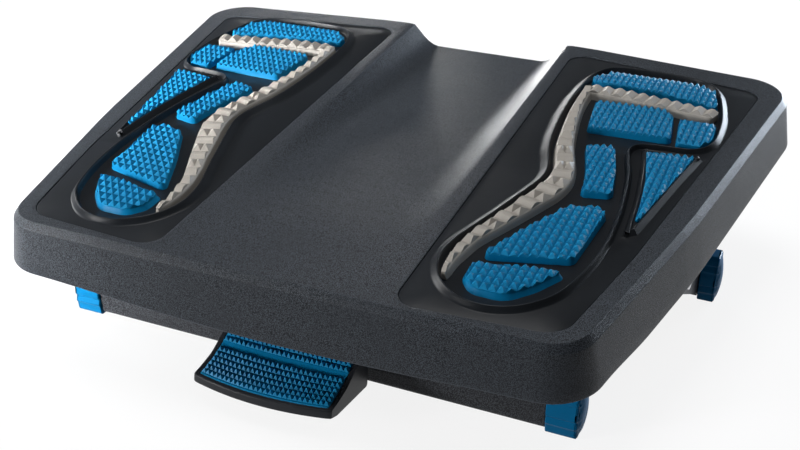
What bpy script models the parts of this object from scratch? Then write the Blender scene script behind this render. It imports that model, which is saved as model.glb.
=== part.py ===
"""Footrest with a tilting studded platform, a trapezoid stand and a foot pedal.

World frame: metres, +Z up, +Y towards the rear, floor at Z = 0.  Pieces of the
platform are drawn flat in the platform's own frame (Z = 0 on its top face) and
hang on an empty that lies on the tilt axis.
"""
import bmesh
import bpy
import math
from mathutils import Matrix, Vector

MM = 0.001
FIT_GAP = 0.3 * MM                 # clearance between two pieces that touch

# Platform shell and panels
REST_TILT_DEG = 6.0                # rear edge raised at rest
PIVOT_IN_PLATFORM = Vector((0.0, -20.0, -47.0)) * MM
PIVOT_HEIGHT = 52.0 * MM
SHELL_WALL = 3.0 * MM
SHELL_DECK = 3.6 * MM
SKIRT_HEIGHT = 33.5 * MM
SKIRT_FLARE = 5.0 * MM
LIP_INSET = 3.2 * MM               # bevel between the top face and the skirt
LIP_DROP = 4.2 * MM
DECK_RIB_X = 66.0 * MM
DECK_RIB_THICK = 2.4 * MM
DECK_RIB_DEPTH = 24.0 * MM
# right half of the platform outline: x, y, corner radius
DECK_CORNERS = ((166.0, -173.0, 24.0), (193.5, -40.0, 400.0),
                (224.0, 162.5, 30.0), (70.0, 178.5, 260.0))

VALLEY_CREST = 62.0 * MM           # half width of the middle channel at its edge
VALLEY_FLOOR = 40.0 * MM
VALLEY_DEPTH = 16.5 * MM           # at the rear edge
VALLEY_START_Y = -118.0 * MM
VALLEY_END_Y = 177.0 * MM
VALLEY_LEAD = 0.6 * MM             # lift of the cut where the channel fades in
CUT_MARGIN = 5.0 * MM              # how far a cutter reaches past the face it cuts

PANEL_CORNERS = ((69.5, -167.0, 12.0), (155.0, -161.5, 16.0), (170.5, -85.0, 150.0),
                 (203.0, 139.5, 11.0), (69.0, 161.0, 12.0))
PANEL_PLATE = 2.6 * MM
PANEL_SINK = 0.3 * MM
PANEL_LEDGE = 5.0 * MM
DISH_DEPTH = 8.0 * MM
DISH_WALL = 2.2 * MM
# foot-shaped dish with a side pocket; smooth closed curve through these points
DISH_SOLE = ((79, -127), (85, -140), (97, -152), (115, -159), (132, -154), (146, -137),
             (155, -112), (158, -84))
DISH_RIDGE = ((155, -50), (151, -16), (146.5, 4), (149.5, 16), (155, 5), (158, -20),
              (160, -48), (161.5, -69), (169, -66))
DISH_UNDER_RIDGE = ((168, -70),)
DISH_REST = ((179, -10), (188, 38), (192, 74), (188, 108), (176, 137), (150, 146),
             (118, 146), (95, 137), (87, 112), (85, 76), (91, 28), (101, -12), (97, -38),
             (83, -76), (77.5, -104))

# Massage pads
PAD_PLATEAU = 2.0 * MM             # above the platform's top face
STUD_PITCH = 5.6 * MM
STUD_HEIGHT = 2.8 * MM
STUD_MARGIN = 0.6 * MM
# name: grid turn in degrees, then corners x, y, radius
PADS = {
    "heel": (12.0, ((95, -120.5, 3), (141, -110, 4), (134, -143, 18), (104, -156, 14),
                    (95.5, -140, 10))),
    "arch": (12.0, ((97, -117, 2.5), (145.5, -106.5, 4), (149, -43.5, 8),
                    (125.5, -47.5, 5), (112.5, -78, 120))),
    "instep": (8.0, ((127.5, -38.5, 3), (146, -34, 4), (141.5, 0, 60), (131, 29.5, 4),
                     (115, 28, 3), (123, 0, 60), (128, -25, 40))),
    "ball": (3.0, ((111, 38, 3), (163, 41, 3), (156, 84, 6), (127, 91, 80), (105, 87, 3))),
    "side_ball": (6.0, ((165.5, 41, 2.5), (178, 38, 5), (186, 46, 6), (185, 74, 6),
                        (161, 82.5, 2.5))),
    "toe": (-3.0, ((93.5, 107, 3), (121, 112.5, 80), (150, 108, 60), (180.5, 100, 3),
                   (172, 134, 12), (150, 139.5, 60), (104, 139, 12), (93.5, 126, 8))),
    "wedge": (8.0, ((152, 27.5, 2), (180.5, 31, 3), (165, -60, 1.5), (162, -36, 60),
                    (159, 0, 60))),
}

# Ribbed strips
STRIP_CREST = 6.2 * MM
STRIP_TROUGH = 3.6 * MM
STRIP_RIBS = 40
ARM_RIBS = 12
# centre x, centre y, width
STRIP_SPINE = ((95, 107, 11), (94.5, 78, 11), (100, 33, 14), (112, -12, 17.5),
               (109.5, -40, 19), (97, -71, 17), (87, -100, 12), (85.5, -122, 9),
               (89.5, -141, 3))
STRIP_ARM = ((98, 99.5, 14), (130, 102, 12.5), (158, 97.5, 11.5), (186, 88.5, 13.5))

# Stand
BAR_HEIGHT = 29.0 * MM
BAR_DEPTH = 16.0 * MM
BAR_LIFT = 1.4 * MM                # bars clear the floor, the caps stand on it
BAR_BOW = 1.6 * MM
BAR_EDGE_ROUND = 3.2 * MM
BAR_FACE_ROUND = 40.0 * MM
FRONT_BAR_FRONT_Y = -125.0 * MM
REAR_BAR_FRONT_Y = 53.5 * MM
FRONT_BAR_HALF = 141.5 * MM
REAR_BAR_HALF = 190.0 * MM
FRONT_CAP_LENGTH = 19.0 * MM
REAR_CAP_LENGTH = 12.0 * MM
CAP_OVERSIZE = 1.4 * MM
SPIGOT_INSET = 4.0 * MM
CAP_END_ROUND = 1.6 * MM
ARM_THICK = 7.0 * MM
FRONT_ARM_SETBACK = 10.5 * MM      # front arms stand this far inside the bar's ends
ARM_INSET = 3.0 * MM
ARM_FOOT = 1.5 * MM
HUB_RADIUS = 11.0 * MM
AXLE_RADIUS = 4.0 * MM
AXLE_PROUD = 0.3 * MM              # past the retainers
RETAINER_LENGTH = 3.0 * MM
RETAINER_RADIUS = 7.5 * MM
TIE_X = 100.0 * MM
TIE_RADIUS = 4.0 * MM
TIE_SOCKET = 7.0 * MM
TIE_HEIGHT = 14.0 * MM
BEARING_X = 57.0 * MM
BEARING_LENGTH = 14.0 * MM
BEARING_RADIUS = 10.0 * MM
BEARING_FLANGE_HALF = 17.0 * MM
BEARING_FLANGE_DEPTH = 12.0 * MM

# Pedal and brake
PEDAL_PIN_Y = -104.0 * MM
PEDAL_PIN_Z = 39.0 * MM
PEDAL_PIN_RADIUS = 3.0 * MM
PEDAL_BARREL_RADIUS = 6.0 * MM
PEDAL_HALF = 43.0 * MM
PEDAL_BOW = 5.5 * MM               # nose stands this far forward in the middle
PEDAL_STATIONS = 8
PEDAL_WALL = 3.0 * MM
PEDAL_FLOOR = 6.0 * MM             # tread thickness over the hollow
PEDAL_SPINE_HALF = 28.0 * MM
# side view of the pedal, y and z
TREAD_NOSE = (-176.0 * MM, 16.5 * MM)
TREAD_REAR = (-141.5 * MM, 27.5 * MM)
TREAD_SAG = 2.2 * MM
PEDAL_LIP = (-176.8 * MM, 12.0 * MM)
PEDAL_CHIN = (-170.0 * MM, 9.5 * MM)
PEDAL_HEEL = (-131.0 * MM, 5.0 * MM)
PEDAL_BACK = (-129.0 * MM, 32.0 * MM)
HOLLOW_NOSE_Y = -172.0 * MM
HOLLOW_REAR = (-120.0 * MM, 25.0 * MM)
BEAM_FOOT_Y = -135.0 * MM
BEAM_FOOT_Z = (25.0 * MM, 30.5 * MM)
BEAM_HALF_HEIGHT = 3.6 * MM
POCKET_START = 0.06                # share of the tread's depth
POCKET_END = 0.97
POCKET_SIDE = 0.005                # share kept free round the insert
INSERT_HALF = 36.5 * MM
INSERT_THICK = 3.0 * MM
INSERT_PROUD = 0.4 * MM
INSERT_SPIKE = 1.6 * MM
INSERT_COLUMNS = 27
INSERT_ROWS = 9
INSERT_BAND_ROW = 6
BRACKET_X = 38.0 * MM
BRACKET_THICK = 4.0 * MM
BRACKET_FOOT_Z = 6.0 * MM
BRACKET_HEAD_HALF = 4.0 * MM
BRACKET_HEAD_RISE = 6.0 * MM
BRACKET_NECK = 7.0 * MM
PIN_PROUD = 2.0 * MM
NOTCH_HALF = 50.0 * MM             # opening for the pedal in the front bar
NOTCH_FLOOR_Z = 21.0 * MM
BRAKE_RADIUS = 78.0 * MM
BRAKE_RIM = 5.0 * MM
BRAKE_WIDTH = 12.0 * MM
SECTOR_FOOT = 9.0 * MM
SECTOR_FOOT_THICK = 2.0 * MM
SECTOR_DECK_GAP = 2.4 * MM
BRAKE_LOW_DEG = -6.0               # angles seen from the tilt axis, from straight ahead
BRAKE_HIGH_DEG = 24.0
SHOE_LOW_DEG = -4.0
SHOE_HIGH_DEG = 7.0
SHOE_THICK = 4.6 * MM
LEVER_THICK = 6.0 * MM
LEVER_HEIGHT = 26.0 * MM
SPRING_WIRE = 1.1 * MM
SPRING_TURNS = 5
SPRING_PITCH = 1.25                # wire thicknesses from turn to turn
SPRING_START_X = 29.5 * MM

ORIGIN_SHIFT_Y = -1.9 * MM         # puts the bounding box centre on Y = 0
PIVOT_Y = -15.0 * MM + ORIGIN_SHIFT_Y
FRONT_ARM_OUTER = FRONT_BAR_HALF - FRONT_ARM_SETBACK
AXLE_HALF = REAR_BAR_HALF + FIT_GAP + RETAINER_LENGTH + AXLE_PROUD


def clear_scene():
    """Remove every object and mesh that the start-up file holds."""
    for item in list(bpy.data.objects):
        bpy.data.objects.remove(item, do_unlink=True)
    for mesh in list(bpy.data.meshes):
        bpy.data.meshes.remove(mesh)


def make_collection(name, hidden=False):
    """Add a collection to the scene."""
    group = bpy.data.collections.new(name)
    bpy.context.scene.collection.children.link(group)
    group.hide_render = hidden
    return group


def make_material(name, colour, roughness, metallic=0.0):
    """Plain Principled material."""
    material = bpy.data.materials.new(name)
    material.use_nodes = True
    shader = material.node_tree.nodes["Principled BSDF"]
    shader.inputs["Base Color"].default_value = (*colour, 1.0)
    shader.inputs["Roughness"].default_value = roughness
    shader.inputs["Metallic"].default_value = metallic
    return material


def offset_corners(corners, distance):
    """Move every side of a closed outline outwards by a distance (inwards if < 0)."""
    count = len(corners)
    area = sum(corners[i][0] * corners[(i + 1) % count][1]
               - corners[(i + 1) % count][0] * corners[i][1] for i in range(count))
    turn = 1.0 if area > 0 else -1.0
    moved = []
    for index, (x, y, radius) in enumerate(corners):
        here = Vector((x, y))
        before = here - Vector(corners[index - 1][:2])
        after = Vector(corners[(index + 1) % count][:2]) - here
        before.normalize()
        after.normalize()
        normal_in = Vector((before.y, -before.x)) * turn
        normal_out = Vector((after.y, -after.x)) * turn
        spread = normal_in + normal_out
        step = spread * (distance * 2.0 / spread.length_squared)
        convex = (before.x * after.y - before.y * after.x) * turn > 0
        grown = radius + distance if convex else radius - distance
        moved.append((x + step.x, y + step.y, max(grown, 0.2 * MM)))
    return moved


def rounded_outline(corners, degrees_per_step=14.0):
    """Closed list of points with every corner replaced by an arc."""
    points = []
    count = len(corners)
    for index, (x, y, radius) in enumerate(corners):
        corner = Vector((x, y))
        to_last = Vector(corners[index - 1][:2]) - corner
        to_next = Vector(corners[(index + 1) % count][:2]) - corner
        room = 0.48 * min(to_last.length, to_next.length)
        to_last.normalize()
        to_next.normalize()
        half = to_last.angle(to_next) / 2.0
        reach = min(radius / math.tan(half), room)
        start = corner + to_last * reach
        end = corner + to_next * reach
        bend = math.degrees(math.pi - 2.0 * half)
        steps = max(1, int(round(bend / degrees_per_step)))
        centre = corner + (to_last + to_next).normalized() * (reach / math.cos(half))
        first = start - centre
        sweep = first.angle_signed(end - centre)
        for step in range(steps + 1):
            turn = Matrix.Rotation(-sweep * step / steps, 2)
            points.append(centre + turn @ first)
    return points


def smooth_outline(points, steps):
    """Closed Catmull-Rom curve through the points."""
    count = len(points)
    result = []
    for index in range(count):
        a, b, c, d = (Vector(points[(index + shift) % count]) for shift in (-1, 0, 1, 2))
        for step in range(steps):
            result.append(catmull(a, b, c, d, step / steps))
    return result


def catmull(a, b, c, d, t):
    """One point of a Catmull-Rom span between b and c."""
    return 0.5 * ((2 * b) + (c - a) * t + (2 * a - 5 * b + 4 * c - d) * t ** 2
                  + (3 * b - a - 3 * c + d) * t ** 3)


def smooth_run(points, count):
    """Open Catmull-Rom curve through the points, sampled evenly."""
    knots = [Vector(point) for point in points]
    knots = [2 * knots[0] - knots[1]] + knots + [2 * knots[-1] - knots[-2]]
    spans = len(points) - 1
    fine = []
    for step in range(spans * 40 + 1):
        span = min(step // 40, spans - 1)
        fine.append(catmull(*knots[span:span + 4], step / 40 - span))
    lengths = [0.0]
    for before, after in zip(fine, fine[1:]):
        lengths.append(lengths[-1] + (after - before).xy.length)
    run = []
    cursor = 0
    for index in range(count):
        target = lengths[-1] * index / (count - 1)
        while cursor < len(fine) - 2 and lengths[cursor + 1] < target:
            cursor += 1
        part = (target - lengths[cursor]) / (lengths[cursor + 1] - lengths[cursor])
        run.append(fine[cursor].lerp(fine[cursor + 1], part))
    return run


def in_metres(corners):
    """Corner or point list written in millimetres, turned into metres."""
    return [tuple(value * MM for value in corner) for corner in corners]


def mirrored(points):
    """Mirror image of a point list on the other side of the middle plane."""
    return [(-point[0], *point[1:]) for point in reversed(points)]


def object_from_bmesh(name, mesh_data, group):
    """Close a bmesh into an object with outward normals."""
    bmesh.ops.recalc_face_normals(mesh_data, faces=mesh_data.faces)
    mesh = bpy.data.meshes.new(name)
    mesh_data.to_mesh(mesh)
    mesh_data.free()
    item = bpy.data.objects.new(name, mesh)
    group.objects.link(item)
    return item


def loft(name, rings, group):
    """Solid skinned over rings that hold the same number of points."""
    mesh_data = bmesh.new()
    loops = [[mesh_data.verts.new(point) for point in ring] for ring in rings]
    count = len(loops[0])
    for low, high in zip(loops, loops[1:]):
        for index in range(count):
            after = (index + 1) % count
            mesh_data.faces.new((low[index], low[after], high[after], high[index]))
    mesh_data.faces.new(list(reversed(loops[0])))
    mesh_data.faces.new(loops[-1])
    return object_from_bmesh(name, mesh_data, group)


def plate(name, outline, low, high, group, along_x=False):
    """Flat outline filled as a 2D curve and given a thickness.

    The outline lies in XY and runs from low to high in Z; with along_x it lies
    in YZ and runs from low to high in X.
    """
    curve = bpy.data.curves.new(name, "CURVE")
    curve.dimensions = "2D"
    curve.fill_mode = "BOTH"
    curve.extrude = (high - low) / 2.0
    spline = curve.splines.new("POLY")
    spline.points.add(len(outline) - 1)
    for knot, point in zip(spline.points, outline):
        knot.co = (point[0], point[1], 0.0, 1.0)
    spline.use_cyclic_u = True
    holder = bpy.data.objects.new(name + "_curve", curve)
    group.objects.link(holder)
    bpy.context.view_layer.update()
    evaluated = holder.evaluated_get(bpy.context.evaluated_depsgraph_get())
    mesh = bpy.data.meshes.new_from_object(evaluated)
    bpy.data.objects.remove(holder)
    mesh.transform(Matrix.Translation((0.0, 0.0, (low + high) / 2.0)))
    if along_x:
        mesh.transform(Matrix(((0, 0, 1, 0), (1, 0, 0, 0), (0, 1, 0, 0), (0, 0, 0, 1))))
    mesh_data = bmesh.new()
    mesh_data.from_mesh(mesh)
    bpy.data.meshes.remove(mesh)
    bmesh.ops.remove_doubles(mesh_data, verts=mesh_data.verts, dist=0.001 * MM)
    return object_from_bmesh(name, mesh_data, group)


def rod(name, radius, low, high, centre, group, sides=24):
    """Round bar along X with its axis through centre (y, z)."""
    bpy.ops.mesh.primitive_cylinder_add(vertices=sides, radius=radius, depth=high - low,
                                        rotation=(0.0, math.pi / 2.0, 0.0),
                                        location=((low + high) / 2.0, *centre))
    return settle(bpy.context.object, name, group)


def block(name, low, high, group):
    """Box between two corners."""
    bpy.ops.mesh.primitive_cube_add(size=1.0)
    item = bpy.context.object
    item.scale = [b - a for a, b in zip(low, high)]
    item.location = [(a + b) / 2.0 for a, b in zip(low, high)]
    return settle(item, name, group)


def settle(item, name, group):
    """Write an object's placing into its mesh and file it in a collection."""
    bpy.context.view_layer.update()
    item.data.transform(item.matrix_world)
    item.matrix_world = Matrix.Identity(4)
    item.name = name
    item.data.name = name
    for holder in list(item.users_collection):
        holder.objects.unlink(item)
    group.objects.link(item)
    return item


def combine(target, others, operation):
    """Apply Boolean steps to the target, one after another, and drop the others."""
    for other in others:
        step = target.modifiers.new(operation, "BOOLEAN")
        step.operation = operation
        step.solver = "EXACT"
        step.object = other
        bpy.context.view_layer.update()
        evaluated = target.evaluated_get(bpy.context.evaluated_depsgraph_get())
        mesh = bpy.data.meshes.new_from_object(evaluated)
        target.modifiers.clear()
        old = target.data
        target.data = mesh
        bpy.data.meshes.remove(old)
        bpy.data.objects.remove(other)
    tidy_mesh(target)
    return target


def tidy_mesh(item):
    """Merge touching points and flatten needless edges left by the Boolean."""
    mesh_data = bmesh.new()
    mesh_data.from_mesh(item.data)
    bmesh.ops.remove_doubles(mesh_data, verts=mesh_data.verts, dist=0.005 * MM)
    bmesh.ops.dissolve_limit(mesh_data, angle_limit=math.radians(0.4),
                             verts=mesh_data.verts, edges=mesh_data.edges)
    bmesh.ops.triangulate(mesh_data, faces=[face for face in mesh_data.faces
                                            if len(face.verts) > 4])
    mesh_data.to_mesh(item.data)
    mesh_data.free()


def shade(item, material, angle_deg=32.0):
    """Give the piece its material and soft shading over its round faces."""
    item.data.materials.clear()
    item.data.materials.append(material)
    item.data.shade_smooth()
    item.data.set_sharp_from_angle(angle=math.radians(angle_deg))
    return item


def ring_at(corners, inset, height):
    """Rounded ring of the outline moved inwards, at a height."""
    outline = rounded_outline(offset_corners(corners, -inset))
    return [(point.x, point.y, height) for point in outline]


def deck_outline():
    """Whole platform outline: right half and its mirror image."""
    right = in_metres(DECK_CORNERS)
    return right + [corner for corner in mirrored(right)]


def valley_cutter(name, drop, group):
    """Solid that carves the middle channel, deepening towards the rear."""
    top = VALLEY_LEAD + 2.0 * CUT_MARGIN
    slopes = 8
    profile = []
    for step in range(slopes + 1):
        part = step / slopes
        ease = part * part * (3.0 - 2.0 * part)
        profile.append((VALLEY_CREST + (VALLEY_FLOOR - VALLEY_CREST) * part, ease))
    profile = [(-x, share) for x, share in profile] + list(reversed(profile))
    rings = []
    for y in (VALLEY_START_Y, VALLEY_END_Y + 4.0 * CUT_MARGIN):
        depth = VALLEY_DEPTH * (y - VALLEY_START_Y) / (VALLEY_END_Y - VALLEY_START_Y)
        floor = [(x, y, VALLEY_LEAD - drop - depth * share) for x, share in profile]
        ring = [(-VALLEY_CREST, y, top), *floor, (VALLEY_CREST, y, top)]
        rings.append(ring)
    return loft(name, rings, group)


def build_shell(group, cutters):
    """Hollow platform shell with rolled lip, flared skirt, channel and ribs."""
    corners = deck_outline()
    shell = loft("platform_shell", [ring_at(corners, LIP_INSET, 0.0),
                                    ring_at(corners, 0.0, -LIP_DROP),
                                    ring_at(corners, -SKIRT_FLARE, -SKIRT_HEIGHT)], group)
    combine(shell, [valley_cutter("valley", 0.0, cutters)], "DIFFERENCE")

    past = SKIRT_FLARE * CUT_MARGIN / (SKIRT_HEIGHT - LIP_DROP)
    cavity = loft("cavity", [
        ring_at(corners, SHELL_WALL, -SHELL_DECK),
        ring_at(corners, SHELL_WALL - SKIRT_FLARE - past, -SKIRT_HEIGHT - CUT_MARGIN)], cutters)
    combine(cavity, [valley_cutter("valley_under", SHELL_DECK, cutters)], "DIFFERENCE")
    ribs = []
    reach = max(corner[1] for corner in corners) + 2.0 * CUT_MARGIN
    for side in (-1, 1):
        middle = side * DECK_RIB_X
        ribs.append(block("rib", (middle - DECK_RIB_THICK / 2.0, -reach, -DECK_RIB_DEPTH),
                          (middle + DECK_RIB_THICK / 2.0, reach, 0.0), cutters))
    combine(cavity, ribs, "DIFFERENCE")
    combine(shell, [cavity], "DIFFERENCE")

    for side in (-1, 1):
        panel = in_metres(PANEL_CORNERS)
        if side < 0:
            panel = mirrored(panel)
        rebate = rounded_outline(offset_corners(panel, FIT_GAP))
        opening = rounded_outline(offset_corners(panel, -PANEL_LEDGE))
        seat = -PANEL_SINK - PANEL_PLATE - FIT_GAP
        room = dish_outline(DISH_SOLE + DISH_UNDER_RIDGE + DISH_REST, DISH_WALL + FIT_GAP, side)
        below = -SHELL_DECK - 2.0 * CUT_MARGIN
        combine(shell, [plate("rebate", rebate, seat, CUT_MARGIN, cutters),
                        plate("opening", opening, below, CUT_MARGIN, cutters),
                        plate("tray_room", room, below, CUT_MARGIN, cutters)], "DIFFERENCE")
    return shell


def dish_outline(points, grow, side):
    """Smooth closed outline for the foot-shaped dish, moved outwards by grow."""
    curve = smooth_outline(points, 3)
    corners = [(point.x * MM, point.y * MM, 0.0) for point in curve]
    if grow:
        corners = offset_corners(corners, grow)
    outline = [corner[:2] for corner in corners]
    return outline if side > 0 else mirrored(outline)


def build_panel(side, group, cutters):
    """Foot panel: thin plate with a foot-shaped dish pressed into it."""
    word = "right" if side > 0 else "left"
    corners = in_metres(PANEL_CORNERS)
    if side < 0:
        corners = mirrored(corners)
    low = -PANEL_SINK - PANEL_PLATE
    panel = plate("foot_panel_" + word, rounded_outline(corners), low, -PANEL_SINK, group)
    under = DISH_SOLE + DISH_UNDER_RIDGE + DISH_REST
    tray = plate("tray", dish_outline(under, DISH_WALL, side),
                 -DISH_DEPTH - DISH_WALL, -2.0 * PANEL_SINK, cutters)
    combine(panel, [tray], "UNION")
    hollow = plate("hollow", dish_outline(DISH_SOLE + DISH_RIDGE + DISH_REST, 0.0, side),
                   -DISH_DEPTH, CUT_MARGIN, cutters)
    combine(panel, [hollow], "DIFFERENCE")
    return panel


def inside(point, outline):
    """True if a point lies within a closed outline."""
    hit = False
    last = outline[-1]
    for here in outline:
        if (here[1] > point[1]) != (last[1] > point[1]):
            cross = (last[0] - here[0]) * (point[1] - here[1]) / (last[1] - here[1]) + here[0]
            if point[0] < cross:
                hit = not hit
        last = here
    return hit


def build_pad(name, corners, grid_turn_deg, side, group):
    """Raised pad with a flat rim and a field of four-sided studs."""
    corners = in_metres(corners)
    if side < 0:
        corners = mirrored(corners)
    outline = rounded_outline(corners, 22.0)
    field = rounded_outline(offset_corners(corners, -STUD_MARGIN), 22.0)
    low = -DISH_DEPTH + FIT_GAP
    mesh_data = bmesh.new()
    bottom = [mesh_data.verts.new((*point, low)) for point in outline]
    top = [mesh_data.verts.new((*point, PAD_PLATEAU)) for point in outline]
    count = len(outline)
    for index in range(count):
        after = (index + 1) % count
        mesh_data.faces.new((bottom[index], bottom[after], top[after], top[index]))
    mesh_data.faces.new(bottom)

    centre = sum((Vector(point) for point in outline), Vector((0.0, 0.0))) / count
    turn = Matrix.Rotation(math.radians(grid_turn_deg * side), 2)
    reach = int(60.0 * MM / STUD_PITCH)
    knots = {}
    for column in range(-reach, reach + 1):
        for row in range(-reach, reach + 1):
            spot = centre + turn @ Vector((column * STUD_PITCH, row * STUD_PITCH))
            if inside(spot, field):
                knots[(column, row)] = spot
    cells = [(column, row) for column, row in knots
             if all(key in knots for key in ((column + 1, row), (column, row + 1),
                                             (column + 1, row + 1)))]
    used = {}

    def knot(key):
        if key not in used:
            used[key] = mesh_data.verts.new((*knots[key], PAD_PLATEAU))
        return used[key]

    studs = []
    for column, row in cells:
        studs.append(mesh_data.faces.new((knot((column, row)), knot((column + 1, row)),
                                          knot((column + 1, row + 1)), knot((column, row + 1)))))
    rim = [mesh_data.edges.get((top[i], top[(i + 1) % count])) for i in range(count)]
    rim += [edge for edge in {edge for face in studs for edge in face.edges}
            if len(edge.link_faces) == 1]
    bmesh.ops.triangle_fill(mesh_data, edges=rim, use_beauty=True)
    bmesh.ops.recalc_face_normals(mesh_data, faces=mesh_data.faces)
    bmesh.ops.poke(mesh_data, faces=studs, offset=STUD_HEIGHT)
    return object_from_bmesh(name, mesh_data, group)


def ribbed_run(name, knots, ribs, group):
    """Bar along a curve whose top rises and falls in ribs across it."""
    run = smooth_run(in_metres(knots), 2 * ribs + 1)
    low = -DISH_DEPTH + FIT_GAP
    rings = []
    for index, point in enumerate(run):
        before = run[max(index - 1, 0)]
        after = run[min(index + 1, len(run) - 1)]
        along = (after - before).xy.normalized()
        across = Vector((-along.y, along.x)) * (point.z / 2.0)
        height = STRIP_CREST if index % 2 else STRIP_TROUGH
        left = point.xy + across
        right = point.xy - across
        rings.append([(*left, low), (*left, height), (*right, height), (*right, low)])
    return loft(name, rings, group)


def build_strip(side, group, cutters):
    """Ribbed strip: long curved spine with one arm under the toe pad."""
    word = "right" if side > 0 else "left"
    strip = ribbed_run("strip_" + word, STRIP_SPINE, STRIP_RIBS, group)
    arm = ribbed_run("strip_arm", STRIP_ARM, ARM_RIBS, cutters)
    combine(strip, [arm], "UNION")
    if side < 0:
        strip.data.transform(Matrix.Scale(-1.0, 4, (1.0, 0.0, 0.0)))
        strip.data.flip_normals()
    return strip


def bar_section(grow, front_y, lift=BAR_LIFT):
    """Side view of a foot bar: flat back, bowed front, rounded corners."""
    corners = [(front_y + BAR_DEPTH, lift, BAR_EDGE_ROUND),
               (front_y + BAR_DEPTH, lift + BAR_HEIGHT, BAR_EDGE_ROUND),
               (front_y + BAR_BOW, lift + BAR_HEIGHT, BAR_EDGE_ROUND),
               (front_y, lift + BAR_HEIGHT / 2.0, BAR_FACE_ROUND),
               (front_y + BAR_BOW, lift, BAR_EDGE_ROUND)]
    return rounded_outline(offset_corners(corners, grow), 20.0)


def arm_outline(front_y, facing):
    """Side view of a leg arm from the hub down to its foot bar.

    facing is -1 for the front leg and +1 for the rear leg.
    """
    heel_y = front_y if facing > 0 else front_y + BAR_DEPTH
    near = heel_y + facing * ARM_INSET
    bar_top = BAR_LIFT + BAR_HEIGHT - ARM_INSET
    points = []
    lean = math.atan2(PIVOT_HEIGHT - BAR_HEIGHT, facing * (heel_y - PIVOT_Y))
    start = math.pi / 2.0 - lean
    for step in range(9):
        turn = start + (math.pi - 0.15) * step / 8
        points.append((PIVOT_Y + facing * HUB_RADIUS * math.cos(turn),
                       PIVOT_HEIGHT + HUB_RADIUS * math.sin(turn)))
    points.append((near, BAR_LIFT + ARM_FOOT))
    points.append((near, bar_top))
    return points


def build_leg(name, front_y, bar_half, arm_outer, facing, group, cutters):
    """Foot bar with its two arms, hub bores, cap spigots and tie sockets."""
    frame = plate(name, bar_section(0.0, front_y), -bar_half, bar_half, group, True)
    cap_length = FRONT_CAP_LENGTH if facing < 0 else REAR_CAP_LENGTH
    spigot = plate("spigot", bar_section(-SPIGOT_INSET, front_y),
                   -bar_half - cap_length + SPIGOT_INSET,
                   bar_half + cap_length - SPIGOT_INSET, cutters, True)
    outline = arm_outline(front_y, facing)
    arms = [plate("arm", outline, *sorted((side * arm_outer, side * (arm_outer - ARM_THICK))),
                  cutters, True) for side in (-1, 1)]
    combine(frame, [spigot, *arms], "UNION")
    bore = rod("bore", AXLE_RADIUS + FIT_GAP, -2.0 * bar_half, 2.0 * bar_half,
               (PIVOT_Y, PIVOT_HEIGHT), cutters)
    combine(frame, [bore], "DIFFERENCE")
    if facing < 0:
        notch = block("pedal_notch", (-NOTCH_HALF, front_y - CUT_MARGIN, NOTCH_FLOOR_Z),
                      (NOTCH_HALF, front_y + BAR_DEPTH + CUT_MARGIN, PIVOT_HEIGHT), cutters)
        combine(frame, [notch], "DIFFERENCE")
    return frame


def build_cap(name, front_y, start, length, side, group, cutters):
    """Soft end cap: fluted cup over the bar's spigot."""
    section = bar_section(CAP_OVERSIZE, front_y)
    inner = start + FIT_GAP
    outer = start + length
    dome = bar_section(CAP_OVERSIZE - CAP_END_ROUND, front_y)
    rings = [[(side * inner, *point) for point in section],
             [(side * (outer - CAP_END_ROUND), *point) for point in section],
             [(side * outer, *point) for point in dome]]
    cap = loft(name, rings, group)
    socket = plate("socket", bar_section(-SPIGOT_INSET + FIT_GAP, front_y),
                   *sorted((side * (inner - MM), side * (outer - SPIGOT_INSET + FIT_GAP))),
                   cutters, True)
    combine(cap, [socket], "DIFFERENCE")
    return cap


def ties_and_sockets(frames, group, cutters):
    """Two rods that hold the front and rear legs apart, let into both bars."""
    rods = []
    low = FRONT_BAR_FRONT_Y + ORIGIN_SHIFT_Y + BAR_DEPTH - TIE_SOCKET
    high = REAR_BAR_FRONT_Y + ORIGIN_SHIFT_Y + TIE_SOCKET
    for side, word in ((-1, "left"), (1, "right")):
        for frame in frames:
            hole = rod("hole", TIE_RADIUS + FIT_GAP, low - FIT_GAP, high + FIT_GAP,
                       (0.0, 0.0), cutters, 16)
            hole.data.transform(Matrix.Rotation(math.pi / 2.0, 4, "Z"))
            hole.data.transform(Matrix.Translation((side * TIE_X, 0.0, TIE_HEIGHT)))
            combine(frame, [hole], "DIFFERENCE")
        tie = rod("tie_rod_" + word, TIE_RADIUS, low, high, (0.0, 0.0), group, 16)
        tie.data.transform(Matrix.Rotation(math.pi / 2.0, 4, "Z"))
        tie.data.transform(Matrix.Translation((side * TIE_X, 0.0, TIE_HEIGHT)))
        rods.append(tie)
    return rods


def shifted(point):
    """Side-view point moved to the world frame's Y."""
    return (point[0] + ORIGIN_SHIFT_Y, point[1])


def pedal_curve(drop, x=0.0, first=0.0, last=1.0, steps=INSERT_ROWS):
    """Hollow-backed side view of the pedal's tread at one x, from nose to rear edge."""
    nose = Vector(shifted(TREAD_NOSE))
    rear = Vector(shifted(TREAD_REAR))
    forward = PEDAL_BOW * (1.0 - (x / PEDAL_HALF) ** 2)
    points = []
    for step in range(steps + 1):
        part = first + (last - first) * step / steps
        point = nose.lerp(rear, part)
        points.append((point.x - forward * (1.0 - part),
                       point.y - 4.0 * TREAD_SAG * part * (1.0 - part) - drop))
    return points


def across(name, half, outline_at, group):
    """Solid skinned across X over side views that change from station to station."""
    rings = []
    for index in range(PEDAL_STATIONS + 1):
        x = half * (2.0 * index / PEDAL_STATIONS - 1.0)
        rings.append([(x, y, z) for y, z in outline_at(x)])
    return loft(name, rings, group)


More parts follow.
